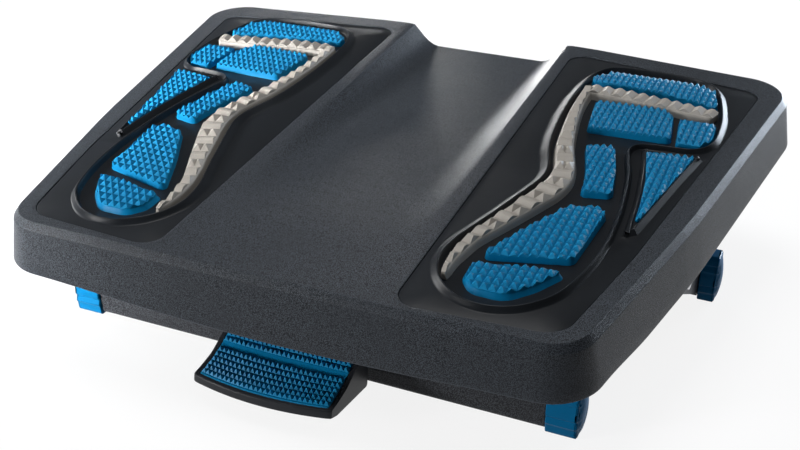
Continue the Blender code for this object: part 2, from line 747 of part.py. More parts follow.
def pedal_side(x):
    """Outer side view of the pedal frame at one x."""
    forward = PEDAL_BOW * (1.0 - (x / PEDAL_HALF) ** 2)
    front = [(y - forward, z) for y, z in (shifted(PEDAL_CHIN), shifted(PEDAL_LIP))]
    return [shifted(PEDAL_HEEL), *front, *pedal_curve(0.0, x), shifted(PEDAL_BACK)]


def pedal_hollow(x):
    """Side view of the hollow under the tread at one x."""
    forward = PEDAL_BOW * (1.0 - (x / PEDAL_HALF) ** 2)
    rear_y, rear_z = shifted(HOLLOW_REAR)
    nose_y = shifted((HOLLOW_NOSE_Y, 0.0))[0] - forward
    return [(rear_y, -CUT_MARGIN), (nose_y, -CUT_MARGIN),
            *pedal_curve(PEDAL_FLOOR, x, POCKET_START, 1.0, 4), (rear_y, rear_z)]


def pocket_side(x):
    """Side view of the insert's pocket at one x."""
    floor = pedal_curve(INSERT_THICK, x, POCKET_START, POCKET_END, 6)
    lid = pedal_curve(-2.0 * CUT_MARGIN, x, POCKET_START, POCKET_END, 1)
    return [*floor, *reversed(lid)]


def build_pedal(group, cutters):
    """Pedal frame: hollow tray, side gussets, pin barrel and brake lever."""
    pin = (PEDAL_PIN_Y + ORIGIN_SHIFT_Y, PEDAL_PIN_Z)
    frame = across("pedal_frame", PEDAL_HALF, pedal_side, group)
    combine(frame, [across("under", PEDAL_HALF - PEDAL_WALL, pedal_hollow, cutters),
                    across("pocket", INSERT_HALF + FIT_GAP, pocket_side, cutters)],
            "DIFFERENCE")
    foot_y = BEAM_FOOT_Y + ORIGIN_SHIFT_Y
    beam = plate("beam", [(foot_y, BEAM_FOOT_Z[0]), (pin[0], pin[1] - BEAM_HALF_HEIGHT),
                          (pin[0], pin[1] + BEAM_HALF_HEIGHT), (foot_y, BEAM_FOOT_Z[1])],
                 -PEDAL_SPINE_HALF, PEDAL_SPINE_HALF, cutters, True)
    barrel = rod("barrel", PEDAL_BARREL_RADIUS, -PEDAL_SPINE_HALF, PEDAL_SPINE_HALF, pin, cutters)
    face = PIVOT_Y - BRAKE_RADIUS - SHOE_THICK - FIT_GAP
    lever = block("lever", (-BRAKE_WIDTH / 2.0, face - LEVER_THICK, pin[1]),
                  (BRAKE_WIDTH / 2.0, face, pin[1] + LEVER_HEIGHT), cutters)
    combine(frame, [beam, barrel, lever], "UNION")
    bore = rod("bore", PEDAL_PIN_RADIUS + FIT_GAP, -2.0 * PEDAL_SPINE_HALF,
               2.0 * PEDAL_SPINE_HALF, pin, cutters)
    combine(frame, [bore], "DIFFERENCE")
    return frame


def tread_grid(drop):
    """Rows of points over the insert, one row after another from the nose."""
    lines = []
    for column in range(INSERT_COLUMNS + 1):
        x = INSERT_HALF * (2.0 * column / INSERT_COLUMNS - 1.0)
        line = pedal_curve(drop, x, POCKET_START + POCKET_SIDE, POCKET_END - POCKET_SIDE)
        lines.append([(x, y, z) for y, z in line])
    return [list(row) for row in zip(*lines)]


def build_insert(group):
    """Studded tread with one smooth band; it sits in the pedal's pocket."""
    mesh_data = bmesh.new()
    top, low = ([[mesh_data.verts.new(point) for point in row] for row in tread_grid(drop)]
                for drop in (-INSERT_PROUD, INSERT_THICK - FIT_GAP))
    studs = []
    for row in range(INSERT_ROWS):
        for column in range(INSERT_COLUMNS):
            quad = ((row, column), (row, column + 1), (row + 1, column + 1), (row + 1, column))
            face = mesh_data.faces.new([top[r][c] for r, c in quad])
            mesh_data.faces.new([low[r][c] for r, c in reversed(quad)])
            if row != INSERT_BAND_ROW:
                studs.append(face)
    edge = [(0, column) for column in range(INSERT_COLUMNS)]
    edge += [(row, INSERT_COLUMNS) for row in range(INSERT_ROWS)]
    edge += [(INSERT_ROWS, column) for column in range(INSERT_COLUMNS, 0, -1)]
    edge += [(row, 0) for row in range(INSERT_ROWS, 0, -1)]
    for (row, column), (next_row, next_column) in zip(edge, edge[1:] + edge[:1]):
        mesh_data.faces.new((low[row][column], low[next_row][next_column],
                             top[next_row][next_column], top[row][column]))
    bmesh.ops.recalc_face_normals(mesh_data, faces=mesh_data.faces)
    bmesh.ops.poke(mesh_data, faces=studs, offset=INSERT_SPIKE)
    return object_from_bmesh("pedal_insert", mesh_data, group)


def arc_points(centre, radius, first_deg, last_deg, steps=10):
    """Arc in a YZ plane, angles measured upwards from the forward direction."""
    points = []
    for step in range(steps + 1):
        turn = math.radians(first_deg + (last_deg - first_deg) * step / steps)
        points.append((centre[0] - radius * math.cos(turn), centre[1] + radius * math.sin(turn)))
    return points


def build_shoe(group):
    """Brake shoe: hollow face towards the sector, flat back on the pedal's lever."""
    centre = (PIVOT_Y, PIVOT_HEIGHT)
    face = arc_points(centre, BRAKE_RADIUS + FIT_GAP, SHOE_LOW_DEG, SHOE_HIGH_DEG)
    back = PIVOT_Y - BRAKE_RADIUS - SHOE_THICK
    outline = [*face, (back, face[-1][1]), (back, face[0][1])]
    half = BRAKE_WIDTH / 2.0
    return plate("brake_shoe", outline, -half, half, group, True)


def build_sector(group):
    """Brake sector under the deck, in the platform's own frame."""
    centre = PIVOT_IN_PLATFORM.yz
    outer = arc_points(centre, BRAKE_RADIUS, BRAKE_LOW_DEG, BRAKE_HIGH_DEG)
    inner = arc_points(centre, BRAKE_RADIUS - BRAKE_RIM, BRAKE_LOW_DEG, BRAKE_HIGH_DEG)
    front = outer[-1][0] - SECTOR_FOOT
    rear = inner[-1][0] + SECTOR_FOOT
    deck = -SHELL_DECK - SECTOR_DECK_GAP
    outline = [*outer, (front, deck - SECTOR_FOOT_THICK), (front, deck), (rear, deck),
               (rear, deck - SECTOR_FOOT_THICK), *reversed(inner)]
    half = BRAKE_WIDTH / 2.0
    return plate("brake_sector", outline, -half, half, group, True)


def platform_matrix():
    """World placing of the platform's own frame at rest."""
    turn = Matrix.Rotation(math.radians(REST_TILT_DEG), 4, "X")
    to_axis = Matrix.Translation((0.0, PIVOT_Y, PIVOT_HEIGHT))
    return to_axis @ turn @ Matrix.Translation(-PIVOT_IN_PLATFORM)


def build_bearing(side, group, cutters):
    """Bearing block between the deck's underside and the axle."""
    word = "right" if side > 0 else "left"
    x_low, x_high = sorted((side * (BEARING_X - BEARING_LENGTH / 2.0),
                            side * (BEARING_X + BEARING_LENGTH / 2.0)))
    axis = PIVOT_IN_PLATFORM.yz
    head = -SHELL_DECK - FIT_GAP
    flange = BEARING_FLANGE_HALF
    outline = [(axis.x - flange, head), (axis.x - flange, head - BEARING_FLANGE_DEPTH),
               (axis.x - BEARING_RADIUS, axis.y)]
    for step in range(1, 8):
        turn = math.pi + math.pi * step / 8
        outline.append((axis.x + BEARING_RADIUS * math.cos(turn),
                        axis.y + BEARING_RADIUS * math.sin(turn)))
    outline += [(axis.x + BEARING_RADIUS, axis.y),
                (axis.x + flange, head - BEARING_FLANGE_DEPTH), (axis.x + flange, head)]
    bearing = plate("bearing_" + word, outline, x_low, x_high, group, True)
    bore = rod("bore", AXLE_RADIUS + FIT_GAP, x_low - MM, x_high + MM, tuple(axis), cutters)
    channel = valley_cutter("channel", SHELL_DECK + FIT_GAP, cutters)
    return combine(bearing, [bore, channel], "DIFFERENCE")


def build_spring(group):
    """Torsion spring wound round the pedal pin."""
    curve = bpy.data.curves.new("pedal_spring", "CURVE")
    curve.dimensions = "3D"
    curve.bevel_depth = SPRING_WIRE / 2.0
    curve.bevel_resolution = 1
    curve.use_fill_caps = True
    spline = curve.splines.new("POLY")
    per_turn = 14
    count = SPRING_TURNS * per_turn + 1
    radius = PEDAL_PIN_RADIUS + SPRING_WIRE / 2.0 + FIT_GAP
    pitch = SPRING_WIRE * SPRING_PITCH
    spline.points.add(count - 1)
    for index, knot in enumerate(spline.points):
        turn = 2.0 * math.pi * index / per_turn
        knot.co = (SPRING_START_X + pitch * index / per_turn,
                   PEDAL_PIN_Y + ORIGIN_SHIFT_Y + radius * math.cos(turn),
                   PEDAL_PIN_Z + radius * math.sin(turn), 1.0)
    holder = bpy.data.objects.new("spring_curve", curve)
    group.objects.link(holder)
    bpy.context.view_layer.update()
    evaluated = holder.evaluated_get(bpy.context.evaluated_depsgraph_get())
    mesh = bpy.data.meshes.new_from_object(evaluated)
    bpy.data.objects.remove(holder)
    mesh_data = bmesh.new()
    mesh_data.from_mesh(mesh)
    bpy.data.meshes.remove(mesh)
    bmesh.ops.remove_doubles(mesh_data, verts=mesh_data.verts, dist=0.002 * MM)
    return object_from_bmesh("pedal_spring", mesh_data, group)


def hang_on(items, axis):
    """Parent pieces to an axis empty without moving them."""
    bpy.context.view_layer.update()
    for item in items:
        item.parent = axis
        item.matrix_parent_inverse = axis.matrix_world.inverted()


def axis_empty(name, place, turn_deg, group):
    """Empty on a joint axis."""
    empty = bpy.data.objects.new(name, None)
    empty.location = place
    empty.rotation_euler = (math.radians(turn_deg), 0.0, 0.0)
    group.objects.link(empty)
    return empty


def main():
    """Build every piece and place it in the world frame."""
    clear_scene()
    group = make_collection("footrest")
    cutters = make_collection("cutters", hidden=True)
    charcoal = make_material("charcoal_shell", (0.035, 0.038, 0.042), 0.55)
    panel_black = make_material("panel_black", (0.028, 0.031, 0.034), 0.42)
    blue = make_material("blue_pad", (0.005, 0.20, 0.48), 0.5)
    cream = make_material("cream_strip", (0.62, 0.58, 0.54), 0.5)
    leg_grey = make_material("leg_plastic", (0.045, 0.047, 0.052), 0.45)
    steel = make_material("steel_rod", (0.55, 0.56, 0.58), 0.3, 1.0)
    rubber = make_material("brake_rubber", (0.02, 0.02, 0.02), 0.85)

    platform = [shade(build_shell(group, cutters), charcoal)]
    for side, word in ((-1, "left"), (1, "right")):
        platform.append(shade(build_panel(side, group, cutters), panel_black))
        for name, (grid_turn, corners) in PADS.items():
            pad = build_pad("pad_" + name + "_" + word, corners, grid_turn, side, group)
            platform.append(shade(pad, blue, 20.0))
        platform.append(shade(build_strip(side, group, cutters), cream, 20.0))
        platform.append(shade(build_bearing(side, group, cutters), leg_grey))
    platform.append(shade(build_sector(group), steel))
    tilt = platform_matrix()
    for item in platform:
        item.data.transform(tilt)

    shift = ORIGIN_SHIFT_Y
    front_y = FRONT_BAR_FRONT_Y + shift
    rear_y = REAR_BAR_FRONT_Y + shift
    front_leg = build_leg("front_leg_frame", front_y, FRONT_BAR_HALF, FRONT_ARM_OUTER, -1,
                          group, cutters)
    rear_leg = build_leg("rear_leg_frame", rear_y, REAR_BAR_HALF, REAR_BAR_HALF, 1, group,
                         cutters)
    base = [front_leg, rear_leg]
    base += ties_and_sockets((front_leg, rear_leg), group, cutters)
    for item in base[:2]:
        shade(item, leg_grey)
    for item in base[2:]:
        shade(item, steel)
    for side, word in ((-1, "left"), (1, "right")):
        for place, y, half, length in (("front", front_y, FRONT_BAR_HALF, FRONT_CAP_LENGTH),
                                       ("rear", rear_y, REAR_BAR_HALF, REAR_CAP_LENGTH)):
            cap = build_cap("foot_cap_" + place + "_" + word, y, half, length, side, group,
                            cutters)
            base.append(shade(cap, blue))
    axle = rod("pivot_axle", AXLE_RADIUS, -AXLE_HALF, AXLE_HALF, (PIVOT_Y, PIVOT_HEIGHT), group)
    base.append(shade(axle, steel))
    start = REAR_BAR_HALF + FIT_GAP
    for side, word in ((-1, "left"), (1, "right")):
        ends = sorted((side * start, side * (start + RETAINER_LENGTH)))
        nut = rod("axle_retainer_" + word, RETAINER_RADIUS, *ends, (PIVOT_Y, PIVOT_HEIGHT), group)
        bore = rod("bore", AXLE_RADIUS + FIT_GAP, ends[0] - MM, ends[1] + MM,
                   (PIVOT_Y, PIVOT_HEIGHT), cutters)
        base.append(shade(combine(nut, [bore], "DIFFERENCE"), steel))

    pin = (PEDAL_PIN_Y + shift, PEDAL_PIN_Z)
    for side, word in ((-1, "left"), (1, "right")):
        ends = sorted((side * BRACKET_X, side * (BRACKET_X + BRACKET_THICK)))
        back = front_y + BAR_DEPTH + FIT_GAP
        head = pin[1] + BRACKET_HEAD_RISE
        outline = [(back, BRACKET_FOOT_Z), (back + BRACKET_THICK, BRACKET_FOOT_Z),
                   (pin[0] + BRACKET_NECK, pin[1]), (pin[0] + BRACKET_HEAD_HALF, head),
                   (pin[0] - BRACKET_HEAD_HALF, head), (back, pin[1] - BRACKET_HEAD_HALF)]
        ear = plate("pedal_bracket_" + word, outline, *ends, group, True)
        bore = rod("bore", PEDAL_PIN_RADIUS + FIT_GAP, ends[0] - MM, ends[1] + MM, pin, cutters)
        base.append(shade(combine(ear, [bore], "DIFFERENCE"), leg_grey))
    half = BRACKET_X + BRACKET_THICK + PIN_PROUD
    base.append(shade(rod("pedal_pin", PEDAL_PIN_RADIUS, -half, half, pin, group), steel))
    base.append(shade(build_spring(group), steel, 60.0))

    frame = shade(build_pedal(group, cutters), charcoal)
    insert = shade(build_insert(group), blue, 20.0)
    shoe = shade(build_shoe(group), rubber)

    hang_on(platform, axis_empty("platform_tilt_axis", (0.0, PIVOT_Y, PIVOT_HEIGHT),
                                 REST_TILT_DEG, group))
    hang_on([frame, insert, shoe], axis_empty("pedal_axis", (0.0, *pin), 0.0, group))


main()
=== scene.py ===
"""Dressed model of a footrest with massage pads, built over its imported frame.

The frame holds every body and node in metres. Pieces of the tilting platform are
drawn flat in the platform's own frame, whose Z = 0 is the top face, and are then
set in place. The stand and the pedal are drawn straight in the row's frame.
"""

import logging
import math
from contextlib import contextmanager
from dataclasses import dataclass
from enum import Enum
from typing import Any, Callable, Iterable, Iterator, Sequence

import bmesh
import bpy
import numpy as np
from mathutils import Matrix, Vector
from mathutils.geometry import delaunay_2d_cdt


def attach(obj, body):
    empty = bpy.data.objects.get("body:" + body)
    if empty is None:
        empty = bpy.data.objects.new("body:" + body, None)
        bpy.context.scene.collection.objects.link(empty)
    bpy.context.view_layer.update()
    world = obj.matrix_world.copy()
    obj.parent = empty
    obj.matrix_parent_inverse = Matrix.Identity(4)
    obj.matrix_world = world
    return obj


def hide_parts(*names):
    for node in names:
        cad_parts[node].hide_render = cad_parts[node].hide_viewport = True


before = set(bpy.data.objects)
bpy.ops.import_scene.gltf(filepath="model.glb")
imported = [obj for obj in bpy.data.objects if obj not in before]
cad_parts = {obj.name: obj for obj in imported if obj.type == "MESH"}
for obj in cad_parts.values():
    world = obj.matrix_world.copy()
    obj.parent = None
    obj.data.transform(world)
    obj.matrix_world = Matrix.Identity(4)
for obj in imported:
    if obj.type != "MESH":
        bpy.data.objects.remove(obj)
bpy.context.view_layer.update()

MM = 0.001
LOG = logging.getLogger("footrest")
Colour = tuple[float, float, float]
# x, y and radius, or x, y and width
Corner = tuple[float, float, float]
# x, y and z
Triple = tuple[float, float, float]


class Side(Enum):
    """Left or right half of the footrest."""

    LEFT = -1
    RIGHT = 1

    @property
    def word(self) -> str:
        """Lower-case name, as the nodes write it."""
        return self.name.lower()


class Row(Enum):
    """The stand's two bars."""

    FRONT = "front"
    REAR = "rear"


class Operation(Enum):
    """What one solid does to another."""

    JOIN = "UNION"
    CUT = "DIFFERENCE"
    COMMON = "INTERSECT"


class Body(Enum):
    """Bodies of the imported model."""

    BASE = "base"
    PLATFORM = "platform"
    PEDAL = "pedal"


# Shader graphs


@dataclass(frozen=True)
class Wire:
    """A shader value that can stand in a Python expression."""

    graph: "Graph"
    socket: bpy.types.NodeSocket

    def __add__(self, other: "Wire | float") -> "Wire":
        """Sum."""
        return self.graph.maths("ADD", self, other)

    def __radd__(self, other: float) -> "Wire":
        """Sum with a number on the left."""
        return self.graph.maths("ADD", other, self)

    def __sub__(self, other: "Wire | float") -> "Wire":
        """Difference."""
        return self.graph.maths("SUBTRACT", self, other)

    def __rsub__(self, other: float) -> "Wire":
        """Difference with a number on the left."""
        return self.graph.maths("SUBTRACT", other, self)

    def __mul__(self, other: "Wire | float") -> "Wire":
        """Product."""
        return self.graph.maths("MULTIPLY", self, other)

    def __rmul__(self, other: float) -> "Wire":
        """Product with a number on the left."""
        return self.graph.maths("MULTIPLY", other, self)


class Tree:
    """Node tree whose nodes are all added in one way."""

    def __init__(self, tree: bpy.types.NodeTree) -> None:
        """Take a tree and empty it."""
        self.tree = tree
        tree.nodes.clear()

    def node(self, kind: str, settings: dict[str, Any] | None = None,
             inputs: dict[Any, Any] | None = None) -> bpy.types.Node:
        """Add a node, give it its settings first and its inputs second.

        Args:
            kind: Blender's type name of the node.
            settings: Properties and their values.
            inputs: Input name or number, and its value, its Wire or another node's socket.

        Returns:
            The new node.
        """
        made = self.tree.nodes.new(kind)
        for name, value in (settings or {}).items():
            setattr(made, name, value)
        for key, value in (inputs or {}).items():
            source = value.socket if isinstance(value, Wire) else value
            if isinstance(source, bpy.types.NodeSocket):
                self.tree.links.new(source, made.inputs[key])
            else:
                made.inputs[key].default_value = source
        return made


class Graph(Tree):
    """Node tree of one material, with a Principled shader at its end."""

    def __init__(self, name: str) -> None:
        """Start an empty tree.

        Args:
            name: Name of the material.
        """
        self.material = bpy.data.materials.new(name)
        self.material.use_nodes = True
        super().__init__(self.material.node_tree)

    def maths(self, operation: str, first: "Wire | float", second: "Wire | float") -> Wire:
        """One Math node.

        Args:
            operation: The node's operation.
            first: Upper value.
            second: Lower value.

        Returns:
            The result.
        """
        made = self.node("ShaderNodeMath", {"operation": operation}, {0: first, 1: second})
        return Wire(self, made.outputs[0])

    def place(self, stretch: Triple = (1.0, 1.0, 1.0)) -> Wire:
        """Object coordinates, stretched by a factor along each axis.

        Args:
            stretch: Factor along each axis.

        Returns:
            The coordinates.
        """
        source = self.node("ShaderNodeTexCoord")
        mapped = self.node("ShaderNodeMapping", {"vector_type": "POINT"},
                           {"Vector": Wire(self, source.outputs["Object"]), "Scale": stretch})
        return Wire(self, mapped.outputs["Vector"])

    def noise(self, where: Wire, scale: float, detail: float, rough: float) -> Wire:
        """Noise between 0 and 1 at a number of cells to the metre.

        Args:
            where: Coordinates.
            scale: Cells to the metre.
            detail: Layers of finer noise.
            rough: How much each finer layer counts.

        Returns:
            The noise.
        """
        made = self.node("ShaderNodeTexNoise", {"noise_dimensions": "3D"},
                         {"Vector": where, "Scale": scale, "Detail": detail,
                          "Roughness": rough})
        return Wire(self, made.outputs["Fac"])

    def cells(self, where: Wire, scale: float) -> Wire:
        """Distance to the next cell wall, for a pebbled grain.

        Args:
            where: Coordinates.
            scale: Cells to the metre.

        Returns:
            The distance.
        """
        made = self.node("ShaderNodeTexVoronoi", {"feature": "SMOOTH_F1"},
                         {"Vector": where, "Scale": scale, "Smoothness": 0.35})
        return Wire(self, made.outputs["Distance"])

    def attribute(self, name: str) -> Wire:
        """Number that the mesh carries at its points."""
        made = self.node("ShaderNodeAttribute", {"attribute_name": name})
        return Wire(self, made.outputs["Fac"])

    def spread(self, value: Wire, low: float, high: float) -> Wire:
        """Smooth step from 0 at low to 1 at high.

        Args:
            value: Value to ease.
            low: Value that gives 0.
            high: Value that gives 1.

        Returns:
            The eased value.
        """
        made = self.node("ShaderNodeMapRange", {"interpolation_type": "SMOOTHSTEP"},
                         {"Value": value, "From Min": low, "From Max": high})
        return Wire(self, made.outputs["Result"])

    def tint(self, factor: Wire, first: "Wire | Colour", second: "Wire | Colour") -> Wire:
        """Colour between two colours.

        Args:
            factor: 0 gives the first, 1 the second.
            first: Colour at 0.
            second: Colour at 1.

        Returns:
            The mixed colour.
        """
        ends = [end if isinstance(end, Wire) else (*end, 1.0) for end in (first, second)]
        made = self.node("ShaderNodeMix", {"data_type": "RGBA", "clamp_factor": True},
                         {0: factor, 6: ends[0], 7: ends[1]})
        return Wire(self, made.outputs[2])

    def bump(self, height: Wire, depth: float) -> Wire:
        """Normal bent by a height between 0 and 1 that stands for a depth in metres.

        Args:
            height: Height between 0 and 1.
            depth: Depth in metres that a height of 1 stands for.

        Returns:
            The bent normal.
        """
        made = self.node("ShaderNodeBump", None,
                         {"Strength": 1.0, "Distance": depth, "Height": height})
        return Wire(self, made.outputs["Normal"])

    def finish(self, **inputs: Any) -> bpy.types.Material:
        """Close the tree with a Principled shader.

        Args:
            inputs: Socket names with an underscore for each space.

        Returns:
            The material.
        """
        named = {key.replace("_", " "): value for key, value in inputs.items()}
        shader = self.node("ShaderNodeBsdfPrincipled", None, named)
        self.node("ShaderNodeOutputMaterial", None,
                  {"Surface": Wire(self, shader.outputs["BSDF"])})
        return self.material


@dataclass(frozen=True)
class Finish:
    """Surface finish of one kind of part."""

    name: str
    slot: str
    colour: Colour
    roughness: float

    def paint(self, graph: Graph) -> bpy.types.Material:
        """Build the node tree. Each kind of finish has its own."""
        raise NotImplementedError

    def material(self) -> bpy.types.Material:
        """The finish's material, built on first use."""
        known = bpy.data.materials.get(self.name)
        return known or self.paint(Graph(self.name))

    def shade(self, share: float) -> Colour:
        """The finish's colour, darker or lighter by a factor."""
        return tuple(min(1.0, part * share) for part in self.colour)


@dataclass(frozen=True)
class GrainedPlastic(Finish):
    """Moulded plastic with a pebbled grain that catches the light in specks."""

    grain_per_metre: float = 2100.0
    grain_depth: float = 0.00013
    # How much lighter the edges get: part wear, part painted edge highlight.
    edge_lightness: float = 1.7
    specular: float = 0.13

    def paint(self, graph: Graph) -> bpy.types.Material:
        """Pebbles with darker seams, lighter along the edges from wear and a painted edge
        highlight.

        Args:
            graph: Empty tree.

        Returns:
            The material.
        """
        where = graph.place()
        pebble = graph.spread(graph.cells(where, self.grain_per_metre), 0.75, 0.15)
        fine = graph.noise(where, self.grain_per_metre * 0.9, 2.0, 0.6)
        patch = graph.noise(where, 24.0, 4.0, 0.6)
        edge = graph.attribute("edge")
        # Lighter along convex edges: part rubbed wear, part painted edge highlight.
        edge_lightening = graph.spread(edge + patch * 0.5 - 0.25, 0.35, 1.0)
        speck = graph.spread(pebble * 0.35 + fine * 0.65, 0.33, 0.68)
        grain = graph.tint(speck, self.shade(0.3), self.shade(2.0))
        uneven = graph.tint(graph.spread(patch, 0.35, 0.7) * 0.45, grain, self.shade(0.8))
        colour = graph.tint(edge_lightening * 0.5, uneven, self.shade(self.edge_lightness))
        rough = self.roughness + (fine - 0.5) * 0.2 + (patch - 0.5) * 0.1 - edge_lightening * 0.1
        height = pebble * 0.5 + fine * 0.5
        return graph.finish(Base_Color=colour, Roughness=rough, Specular_IOR_Level=self.specular,
                            Normal=graph.bump(height, self.grain_depth))


@dataclass(frozen=True)
class SatinPlastic(Finish):
    """Smoother moulded plastic with a fine spark-eroded skin."""

    skin_per_metre: float = 2600.0
    skin_depth: float = 0.00002
    edge_lightness: float = 2.2
    specular: float = 0.16

    def paint(self, graph: Graph) -> bpy.types.Material:
        """Fine skin, faint flow marks and rubbed edges.

        Args:
            graph: Empty tree.

        Returns:
            The material.
        """
        where = graph.place()
        skin = graph.noise(where, self.skin_per_metre, 2.0, 0.6)
        flow = graph.noise(graph.place((1.0, 0.25, 1.0)), 45.0, 4.0, 0.55)
        edge = graph.attribute("edge")
        edge_lightening = graph.spread(edge + flow * 0.4 - 0.2, 0.4, 1.0)
        base = graph.tint(graph.spread(flow, 0.3, 0.75), self.shade(0.86), self.shade(1.14))
        colour = graph.tint(edge_lightening * 0.45, base, self.shade(self.edge_lightness))
        rough = self.roughness + (flow - 0.5) * 0.14 + (skin - 0.5) * 0.08
        return graph.finish(Base_Color=colour, Roughness=rough, Specular_IOR_Level=self.specular,
                            Normal=graph.bump(skin, self.skin_depth))


@dataclass(frozen=True)
class SoftRubber(Finish):
    """Coloured elastomer, a little chalky on its tips and deeper in its hollows."""

    skin_per_metre: float = 1500.0
    skin_depth: float = 0.00003
    specular: float = 0.1

    def paint(self, graph: Graph) -> bpy.types.Material:
        """Even colour with a fine skin and a lighter bloom on worn tips.

        Args:
            graph: Empty tree.

        Returns:
            The material.
        """
        where = graph.place()
        skin = graph.noise(where, self.skin_per_metre, 3.0, 0.6)
        cloud = graph.noise(where, 60.0, 3.0, 0.5)
        edge = graph.spread(graph.attribute("edge"), 0.3, 1.0)
        base = graph.tint(cloud, self.shade(0.86), self.shade(1.12))
        bloom = (min(1.0, self.colour[0] + 0.02), min(1.0, self.colour[1] * 1.5),
                 min(1.0, self.colour[2] * 1.25))
        colour = graph.tint(edge * 0.35, base, bloom)
        rough = self.roughness + (skin - 0.5) * 0.12 + (cloud - 0.5) * 0.1
        return graph.finish(Base_Color=colour, Roughness=rough, Specular_IOR_Level=self.specular,
                            Normal=graph.bump(skin, self.skin_depth))


@dataclass(frozen=True)
class DrawnSteel(Finish):
    """Bright drawn bar with fine lines along its length."""

    lengthwise: Triple = (0.04, 1.0, 1.0)

    def paint(self, graph: Graph) -> bpy.types.Material:
        """Draw lines, a few dull patches and a uniform metal.

        Args:
            graph: Empty tree.

        Returns:
            The material.
        """
        lines = graph.noise(graph.place(self.lengthwise), 2400.0, 3.0, 0.6)
        patch = graph.noise(graph.place(), 90.0, 3.0, 0.6)
        colour = graph.tint(graph.spread(patch, 0.4, 0.8), self.colour, self.shade(0.72))
        rough = self.roughness + (lines - 0.5) * 0.2 + graph.spread(patch, 0.5, 0.8) * 0.12
        return graph.finish(Base_Color=colour, Roughness=rough, Metallic=1.0,
                            Normal=graph.bump(lines, 0.00001))


@dataclass(frozen=True)
class PaleFloor(Finish):
    """Plain floor that reads as white in the picture and keeps its shadows."""

    lift: float = 0.86

    def paint(self, graph: Graph) -> bpy.types.Material:
        """Matt floor with a lift that only straight, mirrored or clear views see.

        Args:
            graph: Empty tree.

        Returns:
            The material.
        """
        mottle = graph.noise(graph.place(), 3.0, 2.0, 0.5)
        colour = graph.tint(mottle, self.shade(0.995), self.shade(1.005))
        path = graph.node("ShaderNodeLightPath")
        seen = (Wire(graph, path.outputs["Is Camera Ray"])
                + Wire(graph, path.outputs["Is Glossy Ray"])
                + Wire(graph, path.outputs["Is Transmission Ray"]))
        lift = graph.node("ShaderNodeEmission", None,
                          {"Color": (1.0, 1.0, 1.0, 1.0),
                           "Strength": graph.maths("MINIMUM", seen, 1.0) * self.lift})
        matt = graph.node("ShaderNodeBsdfDiffuse", None, {"Color": colour, "Roughness": 0.0})
        both = graph.node("ShaderNodeAddShader", None,
                          {0: Wire(graph, lift.outputs[0]), 1: Wire(graph, matt.outputs[0])})
        graph.node("ShaderNodeOutputMaterial", None, {"Surface": Wire(graph, both.outputs[0])})
        return graph.material


# The shell's edges are painted much lighter: part wear, part painted edge highlight.
SHELL = GrainedPlastic("grained_shell", "shell", (0.040, 0.046, 0.055), 0.40, edge_lightness=2.8)
LEG = GrainedPlastic("leg_skin", "leg", (0.040, 0.043, 0.049), 0.48,
                     grain_per_metre=1500.0, grain_depth=0.00005)
TRAY = SatinPlastic("tray_plastic", "shell", (0.020, 0.022, 0.026), 0.42)
PANEL = SatinPlastic("satin_panel", "panel", (0.010, 0.012, 0.015), 0.36)
PAD = SoftRubber("pad_rubber", "pad", (0.0, 0.165, 0.360), 0.44)
CAP = SoftRubber("cap_rubber", "cap", (0.001, 0.145, 0.330), 0.36)
STRIP = SatinPlastic("strip_plastic", "strip", (0.315, 0.294, 0.265), 0.45, edge_lightness=1.2)
STEEL = DrawnSteel("drawn_steel", "steel", (0.56, 0.57, 0.58), 0.26)
SHOE = SoftRubber("brake_rubber", "shoe", (0.018, 0.018, 0.018), 0.82)
FLOOR = PaleFloor("pale_floor", "floor", (0.15, 0.15, 0.153), 0.9)


# Outlines and meshes


def catmull(a: Vector, b: Vector, c: Vector, d: Vector, t: float) -> Vector:
    """One point of a Catmull-Rom span between b and c."""
    return 0.5 * ((2 * b) + (c - a) * t + (2 * a - 5 * b + 4 * c - d) * t ** 2
                  + (3 * b - a - 3 * c + d) * t ** 3)


def smooth_step(value: float) -> float:
    """Ease from 0 to 1, flat at both ends."""
    value = min(1.0, max(0.0, value))
    return value * value * (3.0 - 2.0 * value)


def inside_mask(points: np.ndarray, outline: Sequence[Vector]) -> np.ndarray:
    """Which points lie within a closed outline.

    Args:
        points: Rows of x and y.
        outline: Corners in order.

    Returns:
        One truth value for each point.
    """
    hit = np.zeros(len(points), dtype=bool)
    last = outline[-1]
    for here in outline:
        if here.y != last.y:
            spans = (here.y > points[:, 1]) != (last.y > points[:, 1])
            cross = (last.x - here.x) * (points[:, 1] - here.y) / (last.y - here.y) + here.x
            hit ^= spans & (points[:, 0] < cross)
        last = here
    return hit


def corner_arc(before: Vector, corner: Vector, after: Vector, radius: float,
               steps: int = 0, steps_deg: float = 7.0) -> list[Vector]:
    """Arc that replaces a corner of a flat outline.

    Args:
        before: Corner before it.
        corner: The corner.
        after: Corner after it.
        radius: Radius of the arc, cut down where the sides are short.
        steps: Number of parts, or 0 to work it out from steps_deg.
        steps_deg: Turn of one part.

    Returns:
        The points of the arc.
    """
    to_last = before - corner
    to_next = after - corner
    room = 0.48 * min(to_last.length, to_next.length)
    to_last.normalize()
    to_next.normalize()
    half = to_last.angle(to_next) / 2.0
    reach = min(radius / math.tan(half), room)
    steps = steps or max(1, round(math.degrees(math.pi - 2.0 * half) / steps_deg))
    centre = corner + (to_last + to_next).normalized() * (reach / math.cos(half))
    first = corner + to_last * reach - centre
    sweep = first.angle_signed(corner + to_next * reach - centre)
    return [centre + Matrix.Rotation(-sweep * step / steps, 2) @ first
            for step in range(steps + 1)]


